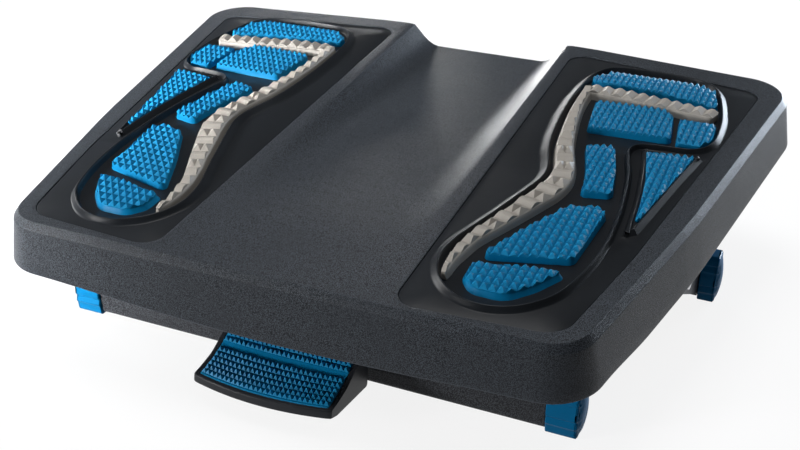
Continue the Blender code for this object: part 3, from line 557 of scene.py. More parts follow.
class Outline:
    """Closed curve in a plane, with outward directions for offset rings."""

    def __init__(self, points: Iterable[Vector]) -> None:
        """Keep the points anticlockwise.

        Args:
            points: Corners in order, in metres.
        """
        self.points = [Vector((point[0], point[1])) for point in points]
        count = len(self.points)
        area = sum(self.points[i - 1].cross(self.points[i]) for i in range(count))
        if area < 0:
            self.points.reverse()
        self.normals = []
        for index in range(count):
            before = (self.points[index] - self.points[index - 1]).normalized()
            after = (self.points[(index + 1) % count] - self.points[index]).normalized()
            along = (before + after).normalized()
            self.normals.append(Vector((along.y, -along.x)))

    @classmethod
    def rounded(cls, corners: Sequence[Corner], longest: float = 6.0,
                steps_deg: float = 7.0) -> "Outline":
        """Straight sides joined by arcs.

        Args:
            corners: x, y and radius of each corner in millimetres.
            longest: Longest stretch between two points, in millimetres.
            steps_deg: Turn between two points of an arc.

        Returns:
            The outline in metres.
        """
        points: list[Vector] = []
        count = len(corners)
        for index, (x, y, radius) in enumerate(corners):
            points += corner_arc(Vector(corners[index - 1][:2]), Vector((x, y)),
                                 Vector(corners[(index + 1) % count][:2]), radius,
                                 steps_deg=steps_deg)
        return cls(spaced([point * MM for point in points], longest * MM))

    @classmethod
    def smooth(cls, knots: Sequence[Sequence[float]], steps: int = 5) -> "Outline":
        """Closed Catmull-Rom curve through knots given in millimetres.

        Args:
            knots: x and y of each knot in millimetres.
            steps: Points from one knot to the next.

        Returns:
            The outline in metres.
        """
        count = len(knots)
        points = []
        for index in range(count):
            span = [Vector(knots[(index + shift) % count][:2]) for shift in (-1, 0, 1, 2)]
            points += [catmull(*span, step / steps) * MM for step in range(steps)]
        return cls(points)

    def moved(self, distance: "float | Sequence[float]") -> list[Vector]:
        """Points moved outwards, by one distance or by one for each point.

        Args:
            distance: One distance, or one for each point.

        Returns:
            The moved points.
        """
        steps = distance if isinstance(distance, (list, tuple)) else [distance] * len(self.points)
        return [point + normal * step
                for point, normal, step in zip(self.points, self.normals, steps)]

    def ring(self, distance: "float | Sequence[float]",
             height: "float | Callable[[Vector], float]") -> list[Vector]:
        """Offset ring at a height, or at a height worked out from each point.

        Args:
            distance: One distance outwards, or one for each point.
            height: The height, or what gives it for a point.

        Returns:
            The ring's points.
        """
        ring = []
        for point in self.moved(distance):
            level = height(point) if callable(height) else height
            ring.append(Vector((point.x, point.y, level)))
        return ring


def spaced(points: Sequence[Vector], longest: float) -> list[Vector]:
    """Closed point list with long stretches divided evenly.

    Args:
        points: Corners in order.
        longest: Longest stretch that stays whole.

    Returns:
        The list with its added points.
    """
    result = []
    for index, point in enumerate(points):
        after = points[(index + 1) % len(points)]
        parts = max(1, math.ceil((after - point).length / longest))
        result += [point.lerp(after, step / parts) for step in range(parts)]
    return result


class Shape:
    """Mesh that is put together ring by ring."""

    def __init__(self) -> None:
        """Start with no faces."""
        self.mesh = bmesh.new()

    def ring(self, points: Iterable[Vector]) -> list[bmesh.types.BMVert]:
        """Add the points of a ring."""
        return [self.mesh.verts.new(point) for point in points]

    def rings(self, rows: Iterable[Iterable[Vector]]) -> list[list[bmesh.types.BMVert]]:
        """Add several rings and join each with the next.

        Args:
            rows: Rings with the same number of points.

        Returns:
            The points of each ring.
        """
        made = [self.ring(row) for row in rows]
        for low, high in zip(made, made[1:]):
            self.bridge(low, high)
        return made

    def bridge(self, low: Sequence[bmesh.types.BMVert],
               high: Sequence[bmesh.types.BMVert]) -> None:
        """Join two rings with quads.

        Args:
            low: First ring.
            high: Second ring, with as many points.
        """
        count = len(low)
        for index in range(count):
            after = (index + 1) % count
            self.mesh.faces.new((low[index], low[after], high[after], high[index]))

    def solid(self, rows: Iterable[Iterable[Vector]]) -> None:
        """Add joined rings and close the first and the last with one face each.

        Args:
            rows: Rings with the same number of points.
        """
        made = self.rings(rows)
        self.mesh.faces.new(made[0])
        self.mesh.faces.new(made[-1])

    def fill(self, outer: Sequence[bmesh.types.BMVert],
             holes: Sequence[Sequence[bmesh.types.BMVert]] = (), spacing: float = 0.0,
             height: Callable[[Vector], float] | None = None) -> None:
        """Fill the space between an outer ring and its holes with triangles.

        Args:
            outer: Outer ring.
            holes: Rings of the holes.
            spacing: Distance between inner points in metres, or 0 for none.
            height: Height of an inner point.
        """
        loops = [outer, *holes]
        known = [vert for loop in loops for vert in loop]
        flat = [vert.co.xy for vert in known]
        edges = []
        start = 0
        for loop in loops:
            count = len(loop)
            edges += [(start + i, start + (i + 1) % count) for i in range(count)]
            start += count
        rims = [[vert.co.xy for vert in loop] for loop in loops]
        if spacing:
            flat += self.inner_points(rims, np.array([tuple(point) for point in flat]), spacing)
        verts, _, faces, origin, _, _ = delaunay_2d_cdt(flat, edges, [], 0, 1e-7)
        middles = np.array([[sum(verts[i][axis] for i in face) / 3.0 for axis in (0, 1)]
                            for face in faces])
        keep = inside_mask(middles, rims[0])
        for rim in rims[1:]:
            keep &= ~inside_mask(middles, rim)
        made: dict[int, bmesh.types.BMVert] = {}
        for face, kept in zip(faces, keep):
            if not kept:
                continue
            for index in face:
                if index in made:
                    continue
                source = min(origin[index]) if origin[index] else len(known)
                if source < len(known):
                    made[index] = known[source]
                else:
                    level = height(verts[index]) if height else 0.0
                    made[index] = self.mesh.verts.new((*verts[index], level))
            corners = [made[index] for index in face]
            if len(set(corners)) == 3 and not self.mesh.faces.get(corners):
                self.mesh.faces.new(corners)

    @staticmethod
    def inner_points(rims: list[list[Vector]], edge: np.ndarray, spacing: float) -> list[Vector]:
        """Even grid of points that keep off every rim.

        Args:
            rims: Outer ring and holes.
            edge: Rows of x and y of all their points.
            spacing: Distance between two points of the grid.

        Returns:
            The points.
        """
        low, high = edge.min(axis=0), edge.max(axis=0)
        xs = np.arange(math.ceil(low[0] / spacing) * spacing, high[0], spacing)
        ys = np.arange(math.ceil(low[1] / spacing) * spacing, high[1], spacing)
        grid = np.array(np.meshgrid(xs, ys)).reshape(2, -1).T
        keep = inside_mask(grid, rims[0])
        for rim in rims[1:]:
            keep &= ~inside_mask(grid, rim)
        grid = grid[keep]
        near = [np.hypot(*(edge - point).T).min() > 0.55 * spacing for point in grid]
        return [Vector(point) for point, far in zip(grid, near) if far]

    def made(self, name: str, smooth_deg: float = 35.0) -> bpy.types.Object:
        """Turn the mesh into an object with outward faces.

        Args:
            name: Name of the object.
            smooth_deg: Edges sharper than this stay crisp.

        Returns:
            The object, linked to the scene.
        """
        bmesh.ops.recalc_face_normals(self.mesh, faces=self.mesh.faces)
        data = bpy.data.meshes.new(name)
        self.mesh.to_mesh(data)
        self.mesh.free()
        shade_smooth(data, smooth_deg)
        return placed(name, data)


def shade_smooth(data: bpy.types.Mesh, smooth_deg: float) -> None:
    """Shade a mesh smooth, with crisp edges above an angle."""
    data.shade_smooth()
    data.set_sharp_from_angle(angle=math.radians(smooth_deg))


def placed(name: str, data: bpy.types.ID) -> bpy.types.Object:
    """New object in the scene for a mesh, a camera or a lamp.

    Args:
        name: Name of the object.
        data: What it shows.

    Returns:
        The object.
    """
    piece = bpy.data.objects.new(name, data)
    bpy.context.scene.collection.objects.link(piece)
    return piece


@contextmanager
def edited(data: bpy.types.Mesh) -> Iterator[bmesh.types.BMesh]:
    """Open a mesh for changes and write it back with outward faces.

    Args:
        data: The mesh.

    Returns:
        The open mesh, for a with block.
    """
    work = bmesh.new()
    work.from_mesh(data)
    yield work
    bmesh.ops.recalc_face_normals(work, faces=work.faces)
    work.to_mesh(data)
    work.free()


def baked(piece: bpy.types.Object) -> bpy.types.Object:
    """Write the result of an object's modifiers into its mesh.

    Args:
        piece: The object.

    Returns:
        The same object.
    """
    bpy.context.view_layer.update()
    result = piece.evaluated_get(bpy.context.evaluated_depsgraph_get())
    data = bpy.data.meshes.new_from_object(result)
    piece.modifiers.clear()
    old = piece.data
    piece.data = data
    bpy.data.meshes.remove(old)
    return piece


def carved(piece: bpy.types.Object, other: bpy.types.Object,
           operation: Operation) -> bpy.types.Object:
    """Join, cut or intersect a piece with another one, which is used up.

    Args:
        piece: Piece that stays.
        other: Piece that is used up.
        operation: What the second does to the first.

    Returns:
        The piece that stays.
    """
    step = piece.modifiers.new(operation.value, "BOOLEAN")
    step.operation = operation.value
    step.solver = "EXACT"
    step.object = other
    baked(piece)
    bpy.data.objects.remove(other)
    return piece


def mirror_of(piece: bpy.types.Object, name: str) -> bpy.types.Object:
    """Mirror image of a piece on the other side of the middle plane.

    Args:
        piece: The piece.
        name: Name of the mirror image.

    Returns:
        The mirror image.
    """
    data = piece.data.copy()
    data.name = name
    with edited(data) as work:
        work.transform(Matrix.Scale(-1.0, 4, (1.0, 0.0, 0.0)))
        work.normal_update()
    return placed(name, data)


def mark_edges(piece: bpy.types.Object, full_deg: float = 45.0) -> None:
    """Store at each point how far it stands out, for the wear of the finish and the painted edge
    highlight of grained plastic.

    Args:
        piece: The piece.
        full_deg: Outward fold that counts as a full edge.
    """
    work = bmesh.new()
    work.from_mesh(piece.data)
    values = []
    for vert in work.verts:
        folds = [edge.calc_face_angle_signed(0.0) for edge in vert.link_edges
                 if edge.is_manifold]
        fold = max(folds, default=0.0)
        values.append(max(0.0, min(1.0, math.degrees(fold) / full_deg)))
    work.free()
    layer = piece.data.attributes.get("edge")
    layer = layer or piece.data.attributes.new("edge", "FLOAT", "POINT")
    layer.data.foreach_set("value", values)


def dress(piece: bpy.types.Object, finish: Finish, body: Body, node: str) -> None:
    """Give a piece its finish and body, and the node that it stands for.

    Args:
        piece: A finished piece with its place in its mesh.
        finish: Its finish.
        body: The body that carries it.
        node: Name of the CAD node that it replaces.
    """
    mark_edges(piece)
    piece.data.materials.clear()
    piece.data.materials.append(finish.material())
    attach(piece, body.value)
    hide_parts(node)
    LOG.info("%s rides on %s, %d faces", piece.name, body.value, len(piece.data.polygons))


def dress_pair(right: bpy.types.Object, finish: Finish, body: Body, node: str,
               place: "PlatformFrame | None" = None) -> None:
    """Dress a right piece and its mirror image.

    Args:
        right: The right piece, whose name ends in right.
        finish: Finish of both.
        body: Body of both.
        node: Name of the CAD nodes that they replace, up to the side.
        place: Frame that the piece is drawn in, if not the row's.
    """
    left = mirror_of(right, right.name.replace(Side.RIGHT.word, Side.LEFT.word))
    for side, piece in ((Side.RIGHT, right), (Side.LEFT, left)):
        if place:
            place.settle(piece)
        dress(piece, finish, body, node + side.word)


# Geometry Nodes


class NodeTree(Tree):
    """Geometry Nodes tree with named inputs, applied to one mesh."""

    def __init__(self, name: str, sizes: dict[str, "float | int"]) -> None:
        """Start a tree that takes a mesh, its sizes and a material.

        Args:
            name: Name of the tree.
            sizes: Named inputs and their values.
        """
        super().__init__(bpy.data.node_groups.new(name, "GeometryNodeTree"))
        sockets = self.tree.interface
        sockets.new_socket("Geometry", in_out="INPUT", socket_type="NodeSocketGeometry")
        self.values: dict[str, Any] = dict(sizes)
        for label, value in sizes.items():
            kind = "NodeSocketInt" if isinstance(value, int) else "NodeSocketFloat"
            sockets.new_socket(label, in_out="INPUT", socket_type=kind)
        sockets.new_socket("Material", in_out="INPUT", socket_type="NodeSocketMaterial")
        sockets.new_socket("Geometry", in_out="OUTPUT", socket_type="NodeSocketGeometry")
        self.start = self.node("NodeGroupInput")
        self.end = self.node("NodeGroupOutput")

    def size(self, label: str) -> bpy.types.NodeSocket:
        """Output of a named input."""
        return self.start.outputs[label]

    def maths(self, operation: str, first: Any, second: Any) -> bpy.types.NodeSocket:
        """One Math node's result."""
        made = self.node("ShaderNodeMath", {"operation": operation}, {0: first, 1: second})
        return made.outputs[0]

    def vector(self, x: Any, y: Any, z: Any) -> bpy.types.NodeSocket:
        """Vector from three values."""
        return self.node("ShaderNodeCombineXYZ", None, {0: x, 1: y, 2: z}).outputs[0]

    def named(self, label: str, kind: str = "FLOAT_VECTOR") -> bpy.types.NodeSocket:
        """Attribute that the carrier mesh holds."""
        made = self.node("GeometryNodeInputNamedAttribute", {"data_type": kind}, {"Name": label})
        return made.outputs["Attribute"]

    def stud(self, sides: int, **cone: Any) -> bpy.types.NodeSocket:
        """Cone of height 1 with a few sides, turned so that its faces look along X and Y.

        Args:
            sides: Number of faces round it.
            cone: The cone's inputs, with an underscore for each space, and its fill_type.

        Returns:
            Its geometry.
        """
        settings = {"fill_type": cone.pop("fill_type")}
        named = {key.replace("_", " "): value for key, value in cone.items()}
        made = self.node("GeometryNodeMeshCone", settings, {"Depth": 1.0, **named})
        return self.node("GeometryNodeTransform", None,
                         {"Geometry": made.outputs["Mesh"],
                          "Rotation": (0.0, 0.0, math.pi / sides)}).outputs[0]

    def spots(self, **inputs: Any) -> bpy.types.NodeSocket:
        """Instances on points; the names are those of the node's inputs."""
        return self.node("GeometryNodeInstanceOnPoints", None, inputs).outputs[0]

    def run(self, carrier: bpy.types.Object, output: bpy.types.NodeSocket,
            finish: Finish) -> bpy.types.Object:
        """Close the tree with Realize Instances and Set Material and apply it.

        Args:
            carrier: Object whose mesh the tree starts from.
            output: Socket with the tree's geometry.
            finish: Finish of the result.

        Returns:
            The carrier with a plain mesh.
        """
        real = self.node("GeometryNodeRealizeInstances", None, {0: output})
        coat = self.node("GeometryNodeSetMaterial", None,
                         {"Geometry": real.outputs[0], "Material": self.size("Material")})
        self.tree.links.new(coat.outputs[0], self.end.inputs[0])
        step = carrier.modifiers.new("build", "NODES")
        step.node_group = self.tree
        ids = {item.name: item.identifier for item in self.tree.interface.items_tree
               if item.in_out == "INPUT"}
        for label, value in self.values.items():
            step[ids[label]] = value
        step[ids["Material"]] = finish.material()
        baked(carrier)
        bpy.data.node_groups.remove(self.tree)
        return carrier


def carrier_mesh(name: str, points: Sequence[Vector], sizes: Sequence[Vector],
                 turns: Sequence[Vector], kinds: Sequence[float]) -> bpy.types.Object:
    """Loose points that hold the size, the turn and the kind of what stands on them.

    Args:
        name: Name of the object.
        points: Places.
        sizes: Scale of each instance along its axes.
        turns: Euler angles of each instance.
        kinds: Number that picks the shape of each instance.

    Returns:
        The carrier object.
    """
    data = bpy.data.meshes.new(name)
    data.from_pydata([tuple(point) for point in points], [], [])
    for label, rows in (("size", sizes), ("turn", turns)):
        layer = data.attributes.new(label, "FLOAT_VECTOR", "POINT")
        layer.data.foreach_set("vector", [part for row in rows for part in row])
    layer = data.attributes.new("kind", "FLOAT", "POINT")
    layer.data.foreach_set("value", list(kinds))
    return placed(name, data)


def scatter_studs(carrier: bpy.types.Object, finish: Finish, sides: int = 4,
                  tip: float = 0.04) -> bpy.types.Object:
    """Put a pointed stud of unit width and height on every point of a carrier.

    Args:
        carrier: Points with a size and a turn.
        finish: Finish of the studs.
        sides: Number of faces round a stud.
        tip: Width of the blunt tip as a share of the foot.

    Returns:
        The carrier with a plain mesh.
    """
    tree = NodeTree("studs", {"Sides": sides, "Tip": tip, "Foot": math.sqrt(0.5)})
    stud = tree.stud(sides, fill_type="NGON", Vertices=tree.size("Sides"),
                     Radius_Top=tree.size("Tip"), Radius_Bottom=tree.size("Foot"))
    spots = tree.spots(Points=tree.start.outputs["Geometry"], Instance=stud,
                       Rotation=tree.named("turn"), Scale=tree.named("size"))
    return tree.run(carrier, spots, finish)


def stud_sheet(name: str, count: int, pitch_x: float, pitch_y: float, height: float,
               finish: Finish) -> bpy.types.Object:
    """Square sheet of joined four-sided studs, centred on the origin.

    Args:
        name: Name of the object.
        count: Studs along X and along Y.
        pitch_x: Width of a stud.
        pitch_y: Length of a stud.
        height: Height of a stud.
        finish: Finish of the sheet.

    Returns:
        An open sheet with its studs' feet on Z = 0.
    """
    tree = NodeTree("stud_sheet", {"Count": count, "Pitch X": pitch_x, "Pitch Y": pitch_y,
                                   "Height": height, "Weld": 0.00002})
    steps = tree.maths("SUBTRACT", tree.size("Count"), 1.0)
    grid = tree.node("GeometryNodeMeshGrid", None,
                     {"Size X": tree.maths("MULTIPLY", steps, tree.size("Pitch X")),
                      "Size Y": tree.maths("MULTIPLY", steps, tree.size("Pitch Y")),
                      "Vertices X": tree.size("Count"), "Vertices Y": tree.size("Count")})
    stud = tree.stud(4, fill_type="NONE", Vertices=4, Radius_Top=0.0,
                     Radius_Bottom=math.sqrt(0.5))
    scale = tree.vector(tree.size("Pitch X"), tree.size("Pitch Y"), tree.size("Height"))
    spots = tree.spots(Points=grid.outputs["Mesh"], Instance=stud, Scale=scale)
    real = tree.node("GeometryNodeRealizeInstances", None, {0: spots})
    joined = tree.node("GeometryNodeMergeByDistance", None,
                       {"Geometry": real.outputs[0], "Distance": tree.size("Weld")})
    carrier = carrier_mesh(name, [Vector()], [Vector((1.0, 1.0, 1.0))], [Vector()], [0.0])
    return tree.run(carrier, joined.outputs[0], finish)


# Platform


@dataclass(frozen=True)
class PlatformFrame:
    """Where the platform's own frame lies in the row's frame at rest."""

    pivot_y: float = -16.9
    pivot_z: float = 52.0
    own_y: float = -20.0
    own_z: float = -47.0
    tilt_deg: float = 6.0

    def matrix(self) -> Matrix:
        """Placing of the platform's frame.

        Returns:
            Matrix from the platform's frame to the row's.
        """
        turn = Matrix.Rotation(math.radians(self.tilt_deg), 4, "X")
        to_axis = Matrix.Translation(Vector((0.0, self.pivot_y, self.pivot_z)) * MM)
        own = Matrix.Translation(Vector((0.0, self.own_y, self.own_z)) * -MM)
        return to_axis @ turn @ own

    def settle(self, piece: bpy.types.Object) -> bpy.types.Object:
        """Write the placing into a piece's mesh."""
        piece.data.transform(self.matrix())
        return piece


@dataclass(frozen=True)
class Valley:
    """Channel between the two foot beds that deepens towards the rear."""

    crest: float = 62.0
    floor: float = 40.0
    depth: float = 16.5
    start_y: float = -118.0
    end_y: float = 177.0
    lead: float = 0.6
    blur: float = 0.35
    crest_round: float = 0.16
    margin: float = 6.0

    def height(self, point: Vector) -> float:
        """Height of the deck's surface at a point, 0 or less, in metres.

        Args:
            point: Place in the platform's frame, in metres.

        Returns:
            The height.
        """
        x, y = abs(point.x) / MM, point.y / MM
        across = min(max((self.crest - x) / (self.crest - self.floor), 0.0), 1.0)
        rounded = across * across * (1.0 + self.crest_round) / (across + self.crest_round)
        share = 1.0 - (1.0 - rounded) ** 2
        drop = self.depth * (y - self.start_y) / (self.end_y - self.start_y) * share
        cut = self.lead - drop
        inside = 1.0 - smooth_step((x - self.crest) / self.margin)
        return -0.5 * (math.sqrt(cut * cut + self.blur) - cut) * MM * inside


@dataclass(frozen=True)
class PlatformShell:
    """Deck with its chamfered lip, flared skirt, channel and panel seats."""

    corners: tuple[Corner, ...] = ((166.0, -173.0, 24.0), (193.5, -40.0, 400.0),
                                   (224.0, 162.5, 30.0), (70.0, 178.5, 260.0))
    lip_inset: float = 3.2
    lip_drop: float = 4.2
    skirt: float = 33.5
    flare: float = 5.0
    wall: float = 3.0
    deck: float = 3.6
    round_over: float = 0.55
    middle_sag: float = 2.8
    end_lift: float = 3.6
    arch_start: float = 100.0
    arch_blend: float = 50.0
    arch_half: float = 170.0
    panel: tuple[Corner, ...] = ((69.5, -167.0, 12.0), (155.0, -161.5, 16.0),
                                 (170.5, -85.0, 150.0), (203.0, 139.5, 11.0),
                                 (69.0, 161.0, 12.0))
    panel_gap: float = 0.35
    seat: float = 3.2
    ledge: float = 5.0
    ledge_thick: float = 2.2
    grid: float = 2.5
    valley: Valley = Valley()

    def outline(self) -> Outline:
        """Lip's outer edge, right half and its mirror image."""
        left = tuple((-x, y, radius) for x, y, radius in reversed(self.corners))
        return Outline.rounded(self.corners + left, 4.0, 5.0)

    def skirt_bottom(self, point: Vector) -> float:
        """Height of the skirt's lower edge: arched along the front, straight elsewhere.

        Args:
            point: Place on the lip's edge.

        Returns:
            The height in metres.
        """
        front = smooth_step((-point.y / MM - self.arch_start) / self.arch_blend)
        middle = math.cos(min(1.0, abs(point.x) / (self.arch_half * MM)) * math.pi)
        bend = middle * (self.middle_sag if middle > 0 else self.end_lift)
        return -(self.skirt + front * bend) * MM

    def profile(self) -> list[tuple[float, float, float]]:
        """Section from the deck over the lip.

        Returns:
            Offset from the lip's edge in mm, height in mm, and how much of the
            channel's depth the ring follows.
        """
        slope = Vector((self.lip_inset, -self.lip_drop)).normalized() * self.round_over
        edge = self.round_over
        return [(-self.lip_inset - edge, 0.0, 1.0),
                (-self.lip_inset - 0.35 * edge, -0.05 * edge, 1.0),
                (-self.lip_inset + 0.35 * slope.x, 0.45 * slope.y, 1.0),
                (-self.lip_inset + slope.x, slope.y, 1.0),
                (-slope.x, -self.lip_drop - slope.y, 1.0),
                (-0.3 * slope.x, -self.lip_drop - 0.35 * slope.y, 1.0),
                (0.03, -self.lip_drop - 0.3 * edge, 1.0),
                (0.12, -self.lip_drop - edge, 0.98)]

    def build(self, place: PlatformFrame) -> None:
        """Make the shell and dress it.

        Args:
            place: The platform's frame.
        """
        outline = self.outline()
        shape = Shape()
        dip = self.valley.height
        rows = [outline.ring(offset * MM, lambda p, z=z, f=f: z * MM + f * dip(p))
                for offset, z, f in self.profile()]
        # share of the skirt's drop and offset, down its outside and up its inside
        sides = [*((part, self.flare * part) for part in (0.25, 0.5, 0.75, 0.975)),
                 (1.0, self.flare - 0.25), (1.0, self.flare - self.wall + 0.5),
                 *((part, self.flare * part - self.wall) for part in (0.98, 0.6, 0.25))]
        rows += [self.skirt_ring(outline, part, offset) for part, offset in sides]
        rows += [outline.ring(-(self.wall + inset) * MM,
                              lambda p, z=z: -(self.deck + z) * MM + dip(p))
                 for inset, z in ((0.1, 3.5), (2.6, 0.0))]
        made = shape.rings(rows)
        tops, lows = [], []
        for side in Side:
            seat = Outline.rounded([(side.value * x, y, r) for x, y, r in self.panel], 5.0)
            gap = self.panel_gap
            # offset and height down the seam, over the ledge and out to the underside
            steps = [(gap + 0.25, 0.0), (gap + 0.04, -0.06), (gap, -0.25), (gap, -self.seat),
                     (-self.ledge, -self.seat), (-self.ledge, -self.seat - self.ledge_thick),
                     (gap + 2.5, -self.seat - self.ledge_thick), (gap + 2.5, -self.deck)]
            loops = shape.rings([seat.ring(offset * MM, z * MM) for offset, z in steps])
            tops.append(loops[0])
            lows.append(loops[-1])
        shape.fill(made[0], tops, self.grid * MM, dip)
        shape.fill(made[-1], lows, 2.0 * self.grid * MM,
                   lambda point: dip(point) - self.deck * MM)
        piece = place.settle(shape.made("deck_shell", 22.0))
        dress(piece, SHELL, Body.PLATFORM, "platform_shell")

    def skirt_ring(self, outline: Outline, part: float, offset: float) -> list[Vector]:
        """Ring of the skirt at a share of its drop below the lip.

        Args:
            outline: The lip's outer edge.
            part: Share of the drop.
            offset: Distance outside the lip's edge in mm.

        Returns:
            The ring's points.
        """

        def level(point: Vector) -> float:
            """Height between the lip and the lower edge."""
            top = -self.lip_drop * MM + self.valley.height(point)
            return top + (self.skirt_bottom(point) - top) * part

        return outline.ring(offset * MM, level)


@dataclass(frozen=True)
class FootPanel:
    """Satin panel with a raised rim round the foot bed and an island for one pad."""

    corners: tuple[Corner, ...] = PlatformShell.panel
    sink: float = 0.3
    plate: float = 2.6
    rise: float = 2.9
    floor: float = -1.1
    inner_slope: float = 2.3
    tray: float = -10.2
    tray_wall: float = 1.0
    # offset from the panel's edge and drop below its top, round the edge
    edge_steps: tuple[tuple[float, float], ...] = ((-0.35, 0.0), (-0.08, 0.1), (0.0, 0.35))
    # crest of the rim: x, y, width of the slope outside it
    crest: tuple[Corner, ...] = (
        (77.3, -121.0, 4.6), (80.8, -134.0, 4.2), (87.6, -144.5, 3.8), (98.6, -152.6, 3.2),
        (112.0, -155.3, 3.0), (125.0, -152.2, 3.0), (136.0, -144.0, 3.0), (145.3, -130.5, 3.0),
        (152.0, -106.0, 2.6), (154.7, -80.0, 2.4), (154.4, -57.0, 2.4), (152.8, -35.0, 2.4),
        (148.4, -3.6, 2.4), (143.4, 16.0, 2.2), (141.3, 27.0, 1.8), (143.5, 33.8, 1.6),
        (149.5, 37.2, 1.4), (162.0, 38.8, 1.4), (175.0, 40.0, 1.6), (183.0, 46.0, 2.6),
        (186.8, 57.0, 3.4), (187.2, 71.0, 3.8), (186.0, 89.0, 4.0), (181.6, 112.0, 4.0),
        (176.0, 129.5, 3.8), (166.0, 140.0, 3.4), (148.0, 144.0, 3.2), (118.0, 145.0, 3.6),
        (101.0, 140.0, 4.2), (92.0, 124.0, 5.0), (89.4, 103.0, 5.8), (88.9, 81.8, 7.4),
        (89.7, 57.3, 7.4), (92.0, 31.5, 6.8), (95.5, 12.0, 6.5), (100.3, -4.7, 6.0),
        (102.1, -15.0, 5.2), (101.9, -24.4, 5.0), (99.2, -36.0, 5.0), (94.5, -51.8, 5.0),
        (88.3, -73.2, 5.2), (83.2, -89.2, 5.4), (78.8, -104.0, 5.4))
    island_foot: tuple[Corner, ...] = ((147.0, 34.0, 2.0), (184.4, 34.2, 1.2),
                                       (177.6, -2.4, 300.0), (167.6, -62.0, 1.6),
                                       (160.0, -68.5, 1.6), (158.2, -45.0, 160.0),
                                       (156.8, -26.0, 160.0), (152.4, 4.1, 160.0))
    island_inset: float = 3.2
    island_rise: float = 2.5

    def build(self, side: Side, place: PlatformFrame) -> None:
        """Make the panel of one side and dress it.

        Args:
            side: Left or right.
            place: The platform's frame.
        """
        mirror = side.value
        edge = Outline.rounded([(mirror * x, y, r) for x, y, r in self.corners], 5.0)
        rim = Outline.smooth([(mirror * x, y) for x, y, _ in self.crest], 5)
        widths = self.slope_widths(rim, mirror)
        island = Outline.rounded([(mirror * x, y, r) for x, y, r in self.island_foot], 3.0)
        shape = Shape()
        top = -self.sink * MM
        low = (-self.sink - self.plate) * MM
        wall = self.tray_wall * MM
        tray = rim.moved(-wall)
        border = shape.rings([*(edge.ring(out * MM, top - drop * MM)
                                for out, drop in self.edge_steps), edge.ring(0.0, low)])
        bed = shape.rings(self.rim_rings(rim, widths))
        hill = shape.rings(self.island_rings(island))
        shape.fill(border[0], [bed[0], hill[0]])
        shape.fill(bed[-1])
        shape.fill(hill[-1])
        under = shape.rings([[Vector((*point, z)) for point in points]
                             for points, z in ((tray, low), (tray, self.tray * MM + wall),
                                               (rim.moved(-2.0 * wall), self.tray * MM))])
        shape.fill(border[-1], [under[0]])
        shape.fill(under[-1])
        piece = place.settle(shape.made("foot_bed_" + side.word, 24.0))
        dress(piece, PANEL, Body.PLATFORM, "foot_panel_" + side.word)

    def slope_widths(self, rim: Outline, mirror: int) -> list[float]:
        """Width of the outer slope at each point of the rim, from the nearest knots.

        Args:
            rim: Curve of the crest.
            mirror: 1 on the right, -1 on the left.

        Returns:
            The widths in metres.
        """
        knots = np.array([(mirror * x, y) for x, y, _ in self.crest]) * MM
        sizes = np.array([width for _, _, width in self.crest])
        widths = []
        for point in rim.points:
            far = np.hypot(*(knots - np.array(tuple(point))).T) + 0.5 * MM
            weight = far ** -3
            widths.append(float((sizes * weight).sum() / weight.sum()) * MM)
        return widths

    def rim_rings(self, rim: Outline, widths: Sequence[float]) -> list[list[Vector]]:
        """Rings from the panel up the outer slope, over the crest and down to the floor.

        Args:
            rim: Curve of the crest.
            widths: Width of the outer slope at each of its points.

        Returns:
            The rings, outermost first.
        """
        base = -self.sink * MM
        lift = (self.rise + self.sink) * MM
        # share of the slope's width outside the crest and share of the rise
        steps = ((1.0, 0.0), (0.86, 0.035), (0.72, 0.13), (0.5, 0.38), (0.28, 0.68),
                 (0.12, 0.88), (0.04, 0.965))
        rings = [rim.ring([width * out for width in widths], base + lift * up)
                 for out, up in steps]
        drop = (self.rise - self.floor) * MM
        slope = self.inner_slope * MM
        inner = ((-0.06, 1.0), (-0.2, 0.975), (-0.34, 0.9), (-0.85, 0.16), (-1.0, 0.05),
                 (-1.3, 0.0))
        return rings + [rim.ring(out * slope, self.floor * MM + drop * up) for out, up in inner]

    def island_rings(self, island: Outline) -> list[list[Vector]]:
        """Rings from the panel up the island's sides and down into the pad's seat.

        Args:
            island: The island's foot.

        Returns:
            The rings, outermost first.
        """
        inset = -self.island_inset * MM
        base = -self.sink * MM
        lift = (self.island_rise + self.sink) * MM
        steps = ((0.0, 0.0), (0.1, 0.04), (0.82, 0.9), (0.93, 0.985), (1.05, 1.0),
                 (1.14, 0.94), (1.18, 0.55))
        return [island.ring(inset * out, base + lift * up) for out, up in steps]


